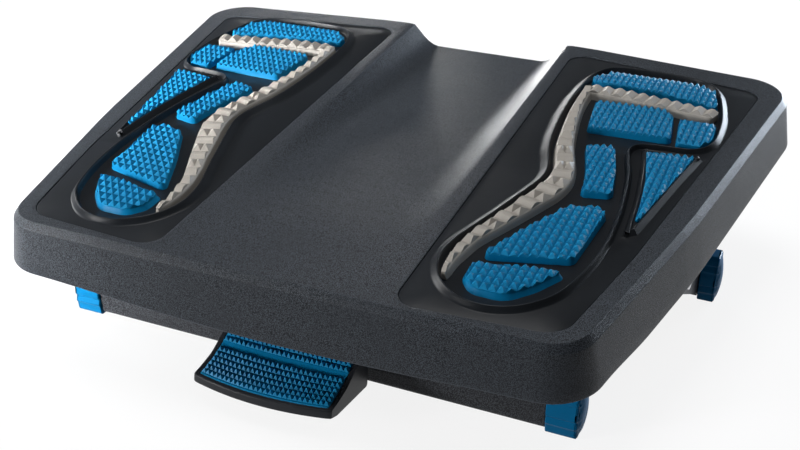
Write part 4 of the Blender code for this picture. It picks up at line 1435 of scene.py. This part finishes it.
@dataclass(frozen=True)
class MassagePads:
    """Seven studded pads in and beside each foot bed."""

    plateau: float = 2.0
    stud_height: float = 2.5
    foot: float = -1.5
    # name, stud width, stud length, flare of the wall, then corners x, y, radius
    outlines: tuple[tuple[str, float, float, float, tuple[Corner, ...]], ...] = (
        ("heel", 4.55, 5.8, 2.2, ((96, -121.5, 2.5), (141.5, -112.3, 2), (131.5, -130, 14),
                                  (120, -143, 12), (103, -142.5, 9), (96.3, -134, 8))),
        ("arch", 4.75, 5.6, 0.8, ((97, -113, 2.5), (143, -100.8, 4), (147, -49, 6),
                                  (140.5, -45, 5), (126, -49.5, 5), (111, -79.5, 120))),
        ("instep", 4.2, 5.8, 0.6, ((127.3, -32.2, 3), (144.8, -28.5, 4), (139.3, 2.7, 60),
                                   (132.5, 27, 3.5), (115.3, 24.3, 3), (122.8, -2.8, 60),
                                   (127, -22, 40))),
        ("ball", 4.15, 6.4, 0.7, ((110, 46.8, 3), (161.3, 49, 3), (156.5, 82, 8), (149, 88, 8),
                                  (105.3, 85.5, 2.5))),
        ("side_ball", 4.15, 6.4, 0.7, ((165.6, 46.2, 2.5), (179.5, 46, 4), (185.3, 56, 6),
                                       (184.3, 76, 5), (180, 79.2, 5), (161, 78.8, 2.5))),
        ("toe", 4.17, 6.2, 0.7, ((94.5, 115.5, 3), (120, 113.8, 80), (150, 111, 60),
                                 (180.8, 101.5, 3), (175, 126, 7), (168, 131, 8),
                                 (150, 134.2, 60), (107, 135, 8), (94.3, 122.5, 5))),
        ("wedge", 4.3, 5.8, 0.2, ((151.3, 28, 1.8), (179.6, 30.4, 1.8), (163.6, -60, 1.2),
                                  (161.9, -34, 60), (158.6, -6, 60))))

    def build(self, place: PlatformFrame) -> None:
        """Make and dress all pads, each with its mirror image.

        Args:
            place: The platform's frame.
        """
        for name, wide, long, flare, corners in self.outlines:
            right = self.pad("pad_field_" + name + "_right", (wide, long), flare, corners)
            dress_pair(right, PAD, Body.PLATFORM, "pad_" + name + "_", place)

    def pad(self, name: str, pitch: tuple[float, float], flare: float,
            corners: Sequence[Corner]) -> bpy.types.Object:
        """Block of studs cut to the pad's outline.

        Args:
            name: Name of the piece.
            pitch: Width and length of a stud in millimetres.
            flare: How far the wall spreads at its foot.
            corners: Outline in the platform's frame.

        Returns:
            The pad, still in the platform's frame.
        """
        outline = Outline.rounded(corners, 5.0, 9.0)
        spots = np.array([tuple(point) for point in outline.points])
        low, high = spots.min(axis=0), spots.max(axis=0)
        count = 2 * (int(max(high - low) / (min(pitch) * MM)) // 2) + 3
        field = stud_sheet(name, count, pitch[0] * MM, pitch[1] * MM, self.stud_height * MM, PAD)
        self.close_below(field)
        middle = (low + high) / 2.0
        field.data.transform(Matrix.Translation((*middle, self.plateau * MM)))
        cutter = Shape()
        spread = flare * MM
        top = (self.plateau + self.stud_height + 1.0) * MM
        wall = ((1.0, self.foot), (0.72, -0.6), (0.32, 0.6), (0.05, 1.6))
        cutter.solid([*(outline.ring(share * spread, z * MM) for share, z in wall),
                      outline.ring(-0.3 * MM, top)])
        piece = carved(cutter.made(name + "_body"), field, Operation.COMMON)
        piece.name = name
        piece.data.name = name
        self.weld(piece)
        return piece

    def close_below(self, field: bpy.types.Object) -> None:
        """Turn the sheet of studs into a closed block.

        Args:
            field: The sheet.
        """
        with edited(field.data) as work:
            rim = [edge for edge in work.edges if edge.is_boundary]
            skirt = bmesh.ops.extrude_edge_only(work, edges=rim)["geom"]
            lows = {item for item in skirt if isinstance(item, bmesh.types.BMVert)}
            for vert in lows:
                vert.co.z = (self.foot - self.plateau - 2.0) * MM
            loop = [item for item in skirt if isinstance(item, bmesh.types.BMEdge)
                    and lows.issuperset(item.verts)]
            bmesh.ops.contextual_create(work, geom=loop)

    @staticmethod
    def weld(piece: bpy.types.Object) -> None:
        """Merge touching points and shade the studs flat and the walls smooth.

        Args:
            piece: The pad.
        """
        with edited(piece.data) as work:
            bmesh.ops.remove_doubles(work, verts=work.verts, dist=0.00001)
        shade_smooth(piece.data, 24.0)


class Rib(Enum):
    """Shapes that stand on the strip's back: length of the ridge and width of its crown."""

    BAR = (0.94, 0.24)
    ROOF = (0.62, 0.05)
    STUD = (0.05, 0.05)

    @property
    def kind(self) -> float:
        """Number that the carrier holds for this shape."""
        return float(list(Rib).index(self))


@dataclass(frozen=True)
class RibbedStrip:
    """Pale strip along the foot bed with wedge ribs and pairs of studs on its back."""

    shoulder: float = 3.6
    edge_round: float = 1.6
    rib_height: float = 2.6
    bar_height: float = 1.7
    foot: float = -1.5
    draft: float = 0.9
    pair_width: float = 7.6
    spine_ribs: int = 25
    arm_ribs: int = 11
    rib_margin: float = 2.9
    stations: int = 90
    # share of the width at the first, the second and all other stations from an end
    tuck: tuple[float, float, float] = (0.55, 0.86, 0.96)
    # centre x, centre y, width
    spine: tuple[Corner, ...] = (
        (96, 105, 7.6), (95.9, 85, 7.3), (96.8, 66, 8.1), (99.8, 42, 9.5), (103.5, 20, 11.2),
        (107.3, 6, 12.2), (111.3, -8, 13), (112.8, -23, 14.9), (110.3, -38, 15.6),
        (104.5, -55, 14.2), (97.7, -74, 12), (92.3, -88, 10.6), (88, -101, 8.8),
        (86, -112, 7.8), (84.8, -124, 5.8), (85.6, -137, 3.6))
    arm: tuple[Corner, ...] = ((97, 100.5, 12.5), (119, 99.7, 13.4), (138.7, 96.6, 13.3),
                               (157.7, 93.6, 13), (175.5, 91, 12.6), (181.4, 89.5, 11))

    def build(self, place: PlatformFrame) -> None:
        """Make and dress the right strip and its mirror image."""
        right = join_meshes("ribbed_strip_right", (self.body(), self.ribs()))
        dress_pair(right, STRIP, Body.PLATFORM, "strip_", place)

    @staticmethod
    def run(knots: Sequence[Corner], count: int) -> list[Vector]:
        """Even samples of a smooth run; Z holds the width. In metres.

        Args:
            knots: x, y and width of each knot in mm.
            count: Number of samples.

        Returns:
            The samples.
        """
        ends = [Vector(knot) * MM for knot in knots]
        ends = [2 * ends[0] - ends[1], *ends, 2 * ends[-1] - ends[-2]]
        spans, parts = len(knots) - 1, 40
        fine = []
        for step in range(spans * parts + 1):
            span = min(step // parts, spans - 1)
            fine.append(catmull(*ends[span:span + 4], step / parts - span))
        reach = np.concatenate([[0.0], np.cumsum([(b - a).xy.length
                                                  for a, b in zip(fine, fine[1:])])])
        marks = np.linspace(0.0, reach[-1], count)
        columns = [np.interp(marks, reach, [point[axis] for point in fine]) for axis in range(3)]
        return [Vector(row) for row in zip(*columns)]

    def body(self) -> bpy.types.Object:
        """Smooth walls of the spine and of the arm.

        Returns:
            The walls.
        """
        shape = Shape()
        for knots in (self.spine, self.arm):
            run = self.run(knots, self.stations)
            last = self.stations - 1
            loops = []
            for index, point in enumerate(run):
                along = (run[min(index + 1, last)] - run[max(index - 1, 0)]).xy.normalized()
                across = Vector((-along.y, along.x))
                half = point.z / 2.0 * self.tuck[min(index, last - index, 2)]
                edge = min(self.edge_round * MM, 0.5 * half)
                section = [(half + self.draft * MM, self.foot), (half + 0.15 * MM, 1.2),
                           (half - 0.12 * edge, self.shoulder - 1.3),
                           (half - 0.45 * edge, self.shoulder - 0.5),
                           (half - edge, self.shoulder)]
                sides = [(-out, z) for out, z in reversed(section)]
                loops.append([Vector((*(point.xy + across * out), z * MM))
                              for out, z in section + sides])
            shape.solid(loops)
        return shape.made("strip_body", 50.0)

    def ribs(self) -> bpy.types.Object:
        """Low bars that alternate with roofs, or with pairs of studs where the run is wide.

        Returns:
            All bars, roofs and studs in one mesh.
        """
        places, sizes, turns, kinds = [], [], [], []
        for knots, count, pairs in ((self.spine, self.spine_ribs, True),
                                    (self.arm, self.arm_ribs, False)):
            run = self.run(knots, 2 * count + 1)
            for index in range(1, 2 * count, 2):
                point = run[index]
                step = run[index + 1] - run[index - 1]
                turn = math.atan2(step.y, step.x) - math.pi / 2.0
                across = Vector((math.cos(turn), math.sin(turn)))
                wide = max(point.z - self.rib_margin * MM, 0.55 * point.z)
                raised = (index // 2) % 2 == 1
                split = pairs and raised and wide > self.pair_width * MM
                rib = Rib.STUD if split else Rib.ROOF if raised else Rib.BAR
                tall = self.rib_height if raised else self.bar_height
                for shift in ((-0.25, 0.25) if split else (0.0,)):
                    spot = point.xy + across * (wide * shift)
                    places.append(Vector((*spot, (self.shoulder - 0.15) * MM)))
                    sizes.append(Vector((wide * (0.5 if split else 1.0), step.xy.length * 0.98,
                                         tall * MM)))
                    turns.append(Vector((0.0, 0.0, turn)))
                    kinds.append(rib.kind)
        carrier = carrier_mesh("strip_ribs", places, sizes, turns, kinds)
        return scatter_ribs(carrier, STRIP)


def scatter_ribs(carrier: bpy.types.Object, finish: Finish) -> bpy.types.Object:
    """Put the rib that each point asks for on a carrier.

    Args:
        carrier: Points with a size, a turn and a kind of rib.
        finish: Finish of the ribs.

    Returns:
        The carrier with a plain mesh.
    """
    names = {rib: rib.name.capitalize() for rib in Rib}
    sizes = {names[rib] + " ridge": rib.value[0] for rib in Rib}
    sizes |= {names[rib] + " crown": rib.value[1] for rib in Rib}
    tree = NodeTree("ribs", sizes)
    spot = tree.node("GeometryNodeInputPosition").outputs[0]
    level = tree.node("ShaderNodeSeparateXYZ", None, {0: spot}).outputs[2]
    both = tree.node("GeometryNodeJoinGeometry")
    for rib in Rib:
        block = tree.node("GeometryNodeMeshCube", None, {"Size": (1.0, 1.0, 1.0)})
        top = tree.vector(tree.size(names[rib] + " ridge"), tree.size(names[rib] + " crown"), 1.0)
        drawn = tree.node("ShaderNodeVectorMath", {"operation": "MULTIPLY"}, {0: spot, 1: top})
        hipped = tree.node("GeometryNodeSetPosition", None,
                           {"Geometry": block.outputs[0], "Position": drawn.outputs[0],
                            "Selection": tree.maths("GREATER_THAN", level, 0.0)})
        raised = tree.node("GeometryNodeTransform", None,
                           {"Geometry": hipped.outputs[0], "Translation": (0.0, 0.0, 0.5)})
        chosen = tree.node("ShaderNodeMath", {"operation": "COMPARE"},
                           {0: tree.named("kind", "FLOAT"), 1: rib.kind, 2: 0.5})
        spots = tree.spots(Points=tree.start.outputs["Geometry"], Selection=chosen.outputs[0],
                           Instance=raised.outputs[0], Rotation=tree.named("turn"),
                           Scale=tree.named("size"))
        tree.tree.links.new(spots, both.inputs[0])
    return tree.run(carrier, both.outputs[0], finish)


def join_meshes(name: str, pieces: Sequence[bpy.types.Object]) -> bpy.types.Object:
    """One object from several; the parts are used up.

    Args:
        name: Name of the object.
        pieces: The parts.

    Returns:
        The object.
    """
    work = bmesh.new()
    for piece in pieces:
        work.from_mesh(piece.data)
    data = bpy.data.meshes.new(name)
    work.to_mesh(data)
    work.free()
    for piece in pieces:
        bpy.data.objects.remove(piece)
    shade_smooth(data, 24.0)
    return placed(name, data)


# Stand and pedal


@dataclass(frozen=True)
class FootCap:
    """Soft cap on the end of a foot bar, with a fluted front and a slanting groove."""

    front_y: float
    start: float
    length: float
    depth: float = 17.4
    height: float = 31.8
    end_round: float = 1.8
    dome: float = 2.4
    dome_reach: tuple[float, float] = (9.0, 16.0)
    air: float = 0.3
    end_wall: float = 5.0
    grid: float = 1.6
    groove_width: float = 0.9
    groove_depth: float = 1.0
    # Cup for the bar's end: y behind the bar's front face and z of two corners
    cup: tuple[tuple[float, float], tuple[float, float]] = ((5.2, 5.8), (11.6, 26.0))
    # y behind the bar's front face, z, radius; the flutes run down the front
    section: tuple[Corner, ...] = (
        (17.0, 0.0, 3.4), (20.4, 15.9, 30.0), (17.4, 31.8, 4.4), (1.2, 31.8, 3.2),
        (-0.3, 27.0, 0.5), (0.5, 25.6, 0.4), (-0.8, 22.0, 0.5), (-0.5, 20.6, 0.4),
        (-1.4, 17.0, 0.6), (-1.4, 12.4, 0.6), (-0.4, 11.2, 0.4), (-1.1, 7.4, 0.5),
        (-0.2, 6.0, 0.4), (0.6, 0.0, 2.2))

    def build(self, row: Row) -> None:
        """Make and dress the right cap of a bar and its mirror image."""
        dress_pair(self.body("rubber_cap_" + row.value + "_right"), CAP, Body.BASE,
                   "foot_cap_" + row.value + "_")

    def body(self, name: str) -> bpy.types.Object:
        """Right cap, drawn lying on its side and then turned up.

        Args:
            name: Name of the cap.

        Returns:
            The cap.
        """
        outline = Outline.rounded(self.section, 2.4, 12.0)
        (near, low), (far, high) = self.cup
        pocket = Outline.rounded(((near, low, 1.0), (far, low, 1.0), (far, high, 1.0),
                                  (near, high, 1.0)), 4.0, 30.0)
        end = self.length * MM
        round_off = self.end_round * MM
        shape = Shape()
        start = self.air * MM
        rows = [outline.ring(-0.4 * MM, start), outline.ring(0.0, start + 0.4 * MM),
                outline.ring(0.0, end - 1.8 * round_off)]
        rows += [outline.ring(-round_off * (1.0 - math.cos(turn)),
                              end - round_off * (1.0 - math.sin(turn)) - self.dome * MM)
                 for turn in (0.0, 0.4, 0.8, 1.2, 1.45)]
        made = shape.rings(rows)
        centre = Vector((self.depth / 2.0 - 0.5, self.height / 2.0)) * MM

        def bulge(point: Vector) -> float:
            """Height of the domed end.

            Args:
                point: Place on the end.

            Returns:
                The height in metres.
            """
            off = (point - centre) / MM
            away = (off.x / self.dome_reach[0]) ** 2 + (off.y / self.dome_reach[1]) ** 2
            return end - self.dome * MM * min(1.0, away)

        shape.fill(made[-1], (), self.grid * MM, bulge)
        cup = shape.rings([pocket.ring(0.0, start),
                           pocket.ring(0.0, end - self.end_wall * MM)])
        shape.fill(made[0], [cup[0]])
        shape.fill(cup[-1])
        piece = carved(shape.made(name, 30.0), self.groove(end), Operation.CUT)
        turn = Matrix(((0.0, 0.0, 1.0, self.start * MM), (1.0, 0.0, 0.0, self.front_y * MM),
                       (0.0, 1.0, 0.0, 0.0), (0.0, 0.0, 0.0, 1.0)))
        piece.data.transform(turn)
        shade_smooth(piece.data, 28.0)
        return piece

    def groove(self, end: float) -> bpy.types.Object:
        """Cutter for the slanting groove from the upper back to the lower front.

        Args:
            end: Where the cap ends, in metres.

        Returns:
            The cutter.
        """
        first, last = Vector((0.2, -2.0)) * MM, Vector((self.depth - 1.0, self.height + 2.0)) * MM
        along = (last - first).normalized()
        across = Vector((-along.y, along.x)) * (self.groove_width / 2.0 * MM)
        shape = Shape()
        corners = [first - across, last - across, last + across, first + across]
        low = end - (self.groove_depth + self.dome) * MM
        shape.solid([[Vector((*point, z)) for point in corners] for z in (low, end + 0.002)])
        return shape.made("groove")


@dataclass(frozen=True)
class Pedal:
    """Bowed tray with a studded rubber tread that has one smooth band."""

    half: float = 41.8
    bow: float = 5.5
    nose: tuple[float, float] = (-177.9, 16.5)
    rear: tuple[float, float] = (-143.4, 27.5)
    sag: float = 2.2
    lip: tuple[float, float] = (-178.7, 12.0)
    chin: tuple[float, float] = (-171.9, 9.5)
    heel: tuple[float, float] = (-132.9, 5.0)
    back: tuple[float, float] = (-130.9, 32.0)
    pocket: tuple[float, float] = (0.06, 0.97)
    insert_half: float = 38.8
    thick: float = 3.0
    proud: float = 0.3
    border: float = 0.04
    columns: int = 27
    rows: int = 9
    band_row: int = 6
    band_depth: float = 0.7
    spike: float = 1.9
    spike_share: tuple[float, float] = (0.97, 0.86)
    side_margin: float = 0.4
    wall: float = 3.0
    hollow: tuple[float, float] = (-173.9, -121.9)
    hollow_z: tuple[float, float] = (-2.0, 25.0)
    under_tread: float = 6.0
    pin: tuple[float, float] = (-105.9, 39.0)
    bore: float = 3.3
    bore_half: float = 60.0
    hub: float = 6.0
    beam_half: float = 28.0
    # side view of the beam from the tray to the pin's barrel: y, z, radius
    beam: tuple[Corner, ...] = ((-136.9, 25.0, 0.6), (-105.9, 35.4, 2.0), (-105.9, 42.6, 2.0),
                                (-136.9, 30.5, 0.6))
    lever_half: float = 6.0
    lever_y: tuple[float, float] = (-105.8, -99.8)
    lever_top: float = 65.0

    def tread(self, x: float, part: float, lift: float = 0.0) -> Vector:
        """Point of the tread at x, a share of the way from nose to rear; all in mm.

        Args:
            x: Distance from the middle plane.
            part: Share of the way from nose to rear.
            lift: Height above the tread.

        Returns:
            The point.
        """
        forward = self.bow * (1.0 - (x / self.half) ** 2)
        spot = Vector(self.nose).lerp(Vector(self.rear), part)
        return Vector((x, spot.x - forward * (1.0 - part),
                       spot.y - 4.0 * self.sag * part * (1.0 - part) + lift))

    def tray_section(self, x: float) -> list[Vector]:
        """Side view of the tray at x, with a rounded lip and chin.

        Args:
            x: Distance from the middle plane in mm.

        Returns:
            Its points in metres.
        """
        forward = self.bow * (1.0 - (x / self.half) ** 2)
        heel, back = Vector(self.heel), Vector(self.back)
        chin = Vector((self.chin[0] - forward, self.chin[1]))
        lip = Vector((self.lip[0] - forward, self.lip[1]))
        tread = [self.tread(x, step / 12.0).yz for step in range(13)]
        points = [*corner_arc(back, heel, chin, 1.5, 3), *corner_arc(heel, chin, lip, 3.0, 3),
                  *corner_arc(chin, lip, tread[0], 1.0, 3),
                  *corner_arc(lip, tread[0], tread[3], 1.2, 4), *tread[2:],
                  *corner_arc(tread[-1], back, heel, 0.8, 3)]
        return [Vector((x, *point)) * MM for point in points]

    def skin(self, half: float, section: Callable[[float], list[Vector]], name: str,
             edge: float = 0.0) -> bpy.types.Object:
        """Solid skinned over side views that change from station to station.

        Args:
            half: Half of its width in mm.
            section: Side view at an x.
            name: Name of the object.
            edge: How far the outermost stations draw in, in mm.

        Returns:
            The solid.
        """
        shape = Shape()
        stations = [half * (2.0 * step / 32.0 - 1.0) for step in range(33)]
        rows = [section(x) for x in stations]
        if edge:
            for row, index, inner in ((rows[0], 0, 1), (rows[-1], -1, -2)):
                middle = sum(row, Vector()) / len(row)
                rounded = [point + (middle - point).normalized() * edge * MM for point in row]
                for point in row:
                    point.x -= math.copysign(edge * MM, stations[index])
                rows.insert(len(rows) if index else 0, rounded)
        shape.solid(rows)
        return shape.made(name, 30.0)

    def pocket_section(self, x: float) -> list[Vector]:
        """Side view of the pocket's cutter at x.

        Args:
            x: Distance from the middle plane in mm.

        Returns:
            Its points in metres.
        """
        first, last = self.pocket
        parts = [first + (last - first) * step / 8.0 for step in range(9)]
        floor = [self.tread(x, part, -self.thick) for part in parts]
        lid = [self.tread(x, part, 4.0) for part in reversed(parts)]
        return [point * MM for point in floor + lid]

    def hollow_section(self, x: float) -> list[Vector]:
        """Side view of the space under the tread at x.

        Args:
            x: Distance from the middle plane in mm.

        Returns:
            Its points in metres.
        """
        forward = self.bow * (1.0 - (x / self.half) ** 2)
        ceiling = [self.tread(x, 0.06 + 0.94 * step / 6.0, -self.under_tread)
                   for step in range(7)]
        (near, far), (low, high) = self.hollow, self.hollow_z
        points = [Vector((x, far, low)), Vector((x, near - forward, low)), *ceiling,
                  Vector((x, far, high))]
        return [point * MM for point in points]

    def tray(self) -> bpy.types.Object:
        """Tray with its pocket, the hollow under it, and the lever with its pin barrel.

        Returns:
            The tray.
        """
        piece = self.skin(self.half, self.tray_section, "pedal_tray", 0.7)
        carved(piece, self.skin(self.half - self.wall, self.hollow_section, "hollow"),
               Operation.CUT)
        carved(piece, self.skin(self.insert_half + 0.3, self.pocket_section, "pocket"),
               Operation.CUT)
        carved(piece, self.lever(), Operation.JOIN)
        carved(piece, self.barrel(self.bore, self.bore_half, "bore"), Operation.CUT)
        shade_smooth(piece.data, 30.0)
        return piece

    def barrel(self, radius: float, half: float, name: str) -> bpy.types.Object:
        """Round bar along X about the pedal's pin.

        Args:
            radius: Its radius in mm.
            half: Half of its length in mm.
            name: Name of the object.

        Returns:
            The bar.
        """
        shape = Shape()
        circle = [(radius * math.cos(turn), radius * math.sin(turn))
                  for turn in np.linspace(0.0, 2.0 * math.pi, 40, endpoint=False)]
        shape.solid([[Vector((x, self.pin[0] + y, self.pin[1] + z)) * MM for y, z in circle]
                     for x in (-half, half)])
        return shape.made(name)

    def lever(self) -> bpy.types.Object:
        """Beam from the tray to the pin's barrel, and the brake lever above it.

        Returns:
            The lever.
        """
        beam = Outline.rounded(self.beam, 20.0, 30.0)
        shape = Shape()
        shape.solid([[Vector((x * MM, *point)) for point in beam.points]
                     for x in (-self.beam_half, self.beam_half)])
        piece = carved(shape.made("lever"), self.barrel(self.hub, self.beam_half, "hub"),
                       Operation.JOIN)
        arm = Shape()
        (front, rear), half = self.lever_y, self.lever_half
        arm.solid([[Vector(point) * MM for point in
                    ((-half, front, z), (half, front, z), (half, rear, z), (-half, rear, z))]
                   for z in (self.pin[1], self.lever_top)])
        return carved(piece, arm.made("brake_arm"), Operation.JOIN)

    def row_start(self, row: float) -> float:
        """Share of the tread at which a row of spikes begins."""
        first, last = self.pocket[0] + self.border, self.pocket[1] - 0.01
        return first + (last - first) * row / self.rows

    def insert(self) -> bpy.types.Object:
        """Rubber tread: a slab with a smooth band and rows of four-sided spikes.

        Returns:
            The tread.
        """
        first, last = self.pocket[0] + 0.005, self.pocket[1] - 0.005
        places, sizes, turns = [], [], []
        edge = self.insert_half - self.side_margin
        pitch = 2.0 * edge / self.columns
        for row in range(self.rows):
            if row == self.band_row:
                continue
            ends = [self.row_start(row + step) for step in (0.0, 1.0)]
            for column in range(self.columns):
                x = pitch * (column + 0.5) - edge
                low, high = (self.tread(x, part, self.proud) for part in ends)
                slant = math.atan2(high.z - low.z, high.y - low.y)
                yaw = math.atan2(2.0 * self.bow * x / self.half ** 2
                                 * (1.0 - sum(ends) / 2.0), 1.0)
                places.append((low + high) / 2.0 * MM)
                wide, long = self.spike_share
                sizes.append(Vector((pitch * wide, (high - low).length * long,
                                     self.spike)) * MM)
                turns.append(Vector((slant, 0.0, yaw)))
        carrier = carrier_mesh("tread_spikes", places, sizes, turns, [0.0] * len(places))
        spikes = scatter_studs(carrier, PAD)

        def slab_section(x: float) -> list[Vector]:
            """Side view of the slab at x, dipped along its smooth band.

            Args:
                x: Distance from the middle plane in mm.

            Returns:
                Its points in metres.
            """
            count = 48
            band = self.row_start(self.band_row + 1) - self.row_start(self.band_row)
            top = []
            for step in range(count + 1):
                part = first + (last - first) * step / count
                share = (part - self.row_start(self.band_row)) / band
                dip = self.band_depth * math.sin(math.pi * share) if 0.0 < share < 1.0 else 0.0
                if step in (0, count) or abs(x) > self.insert_half - 0.2:
                    dip = self.proud + 0.1
                top.append(self.tread(x, part, self.proud - dip))
            low = [self.tread(x, part, 0.3 - self.thick) for part in (last, first)]
            return [point * MM for point in top + low]

        slab = self.skin(self.insert_half, slab_section, "slab")
        return join_meshes("pedal_tread", (slab, spikes))

    def build(self) -> None:
        """Make both pieces of the pedal that show."""
        dress(self.tray(), TRAY, Body.PEDAL, "pedal_frame")
        dress(self.insert(), PAD, Body.PEDAL, "pedal_insert")


# Studio


@dataclass(frozen=True)
class Studio:
    """Camera, lamps, world and floor."""

    eye: Triple = (0.25887832, -0.61068016, 0.36322152)
    right: Triple = (0.9183081, 0.39532176, 0.02075896)
    down: Triple = (0.19186773, -0.39860301, -0.89682909)
    forward: Triple = (-0.34626147, 0.82754839, -0.44188987)
    lens: float = 50.9232
    sensor: float = 36.0
    haze: float = 0.13
    floor_half: float = 30000.0
    floor_round: float = 15000.0
    floor_thick: float = 0.02

    def camera(self) -> None:
        """Camera at the photograph's angle."""
        data = bpy.data.cameras.new("camera")
        data.lens = self.lens
        data.sensor_width = self.sensor
        data.clip_start = 0.01
        holder = placed("camera", data)
        columns = (Vector(self.right), -Vector(self.down), -Vector(self.forward))
        turn = Matrix(columns).transposed().to_4x4()
        holder.matrix_world = Matrix.Translation(self.eye) @ turn
        bpy.context.scene.camera = holder

    def lamp(self, name: str, place: Triple, aim: Triple, size: float, power: float,
             colour: Colour = (1.0, 1.0, 1.0), spread_deg: float = 180.0) -> None:
        """Square soft light.

        Args:
            name: Name of the lamp.
            place: Where it hangs.
            aim: Point that it faces.
            size: Edge length in metres.
            power: Watts.
            colour: Tint of the light.
            spread_deg: Opening angle of its beam.
        """
        data = bpy.data.lights.new(name, "AREA")
        data.size = size
        data.energy = power
        data.color = colour
        data.spread = math.radians(spread_deg)
        direction = Vector(aim) - Vector(place)
        turn = direction.to_track_quat("-Z", "Y").to_matrix().to_4x4()
        placed(name, data).matrix_world = Matrix.Translation(place) @ turn

    def world(self) -> None:
        """Even grey surroundings."""
        world = bpy.data.worlds.new("surroundings")
        world.use_nodes = True
        bpy.context.scene.world = world
        tree = Tree(world.node_tree)
        plain = tree.node("ShaderNodeBackground", None,
                          {"Color": (0.95, 0.97, 1.0, 1.0), "Strength": self.haze})
        tree.node("ShaderNodeOutputWorld", None, {0: plain.outputs[0]})

    def floor(self) -> None:
        """Wide floor under the caps."""
        half, corner = self.floor_half, self.floor_round
        outline = Outline.rounded(((half, -half, corner), (half, half, corner),
                                   (-half, half, corner), (-half, -half, corner)), 800.0, 15.0)
        shape = Shape()
        shape.solid([outline.ring(0.0, -0.0002), outline.ring(0.0, -self.floor_thick)])
        piece = shape.made("floor")
        piece.data.materials.append(FLOOR.material())

    def build(self) -> None:
        """Set up the whole studio."""
        self.camera()
        self.lamp("left_lamp", (-2.3, 0.35, 1.0), (0.0, 0.0, 0.08), 0.8, 29.0)
        self.lamp("corner_lamp", (-0.66, -0.76, 0.26), (-0.37, -0.16, 0.05), 0.14, 2.0,
                  spread_deg=34.0)
        self.lamp("front_lamp", (-0.8, -0.95, 0.26), (-0.1, -0.17, 0.0), 0.3, 1.2,
                  spread_deg=60.0)
        self.lamp("rear_left_lamp", (-0.72, 1.35, 0.15), (0.05, 0.0, 0.10), 0.36, 8.0)
        self.lamp("rear_lamp", (0.66, 1.40, 0.13), (0.12, 0.05, 0.09), 0.6, 32.0,
                  (0.78, 0.88, 1.0))
        self.lamp("top_lamp", (-0.2, 0.15, 1.7), (0.0, 0.0, 0.05), 0.9, 15.0)
        self.world()
        self.floor()
        bpy.context.scene.view_settings.view_transform = "Standard"


NODE_FINISHES: dict[str, Finish] = {
    "front_leg_frame": LEG, "rear_leg_frame": LEG,
    "bearing_left": LEG, "bearing_right": LEG,
    "pedal_bracket_left": LEG, "pedal_bracket_right": LEG,
    "brake_sector": STEEL, "tie_rod_left": STEEL, "tie_rod_right": STEEL,
    "pivot_axle": STEEL, "axle_retainer_left": STEEL, "axle_retainer_right": STEEL,
    "pedal_pin": STEEL, "pedal_spring": STEEL, "brake_shoe": SHOE}


def dress_nodes() -> None:
    """Give every CAD node that stays its finish."""
    for name, finish in NODE_FINISHES.items():
        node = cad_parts[name]
        for slot in node.material_slots:
            slot.material = finish.material()
        LOG.info("%s keeps its shape", name)


def main() -> None:
    """Build the footrest and its studio in order."""
    logging.basicConfig(level=logging.INFO, format="%(name)s: %(message)s")
    place = PlatformFrame()
    Studio().build()
    PlatformShell().build(place)
    for side in Side:
        FootPanel().build(side, place)
    MassagePads().build(place)
    RibbedStrip().build(place)
    FootCap(-126.9, 141.8, 20.4).build(Row.FRONT)
    FootCap(51.6, 190.3, 13.4).build(Row.REAR)
    Pedal().build()
    dress_nodes()


if __name__ == "__main__":
    main()
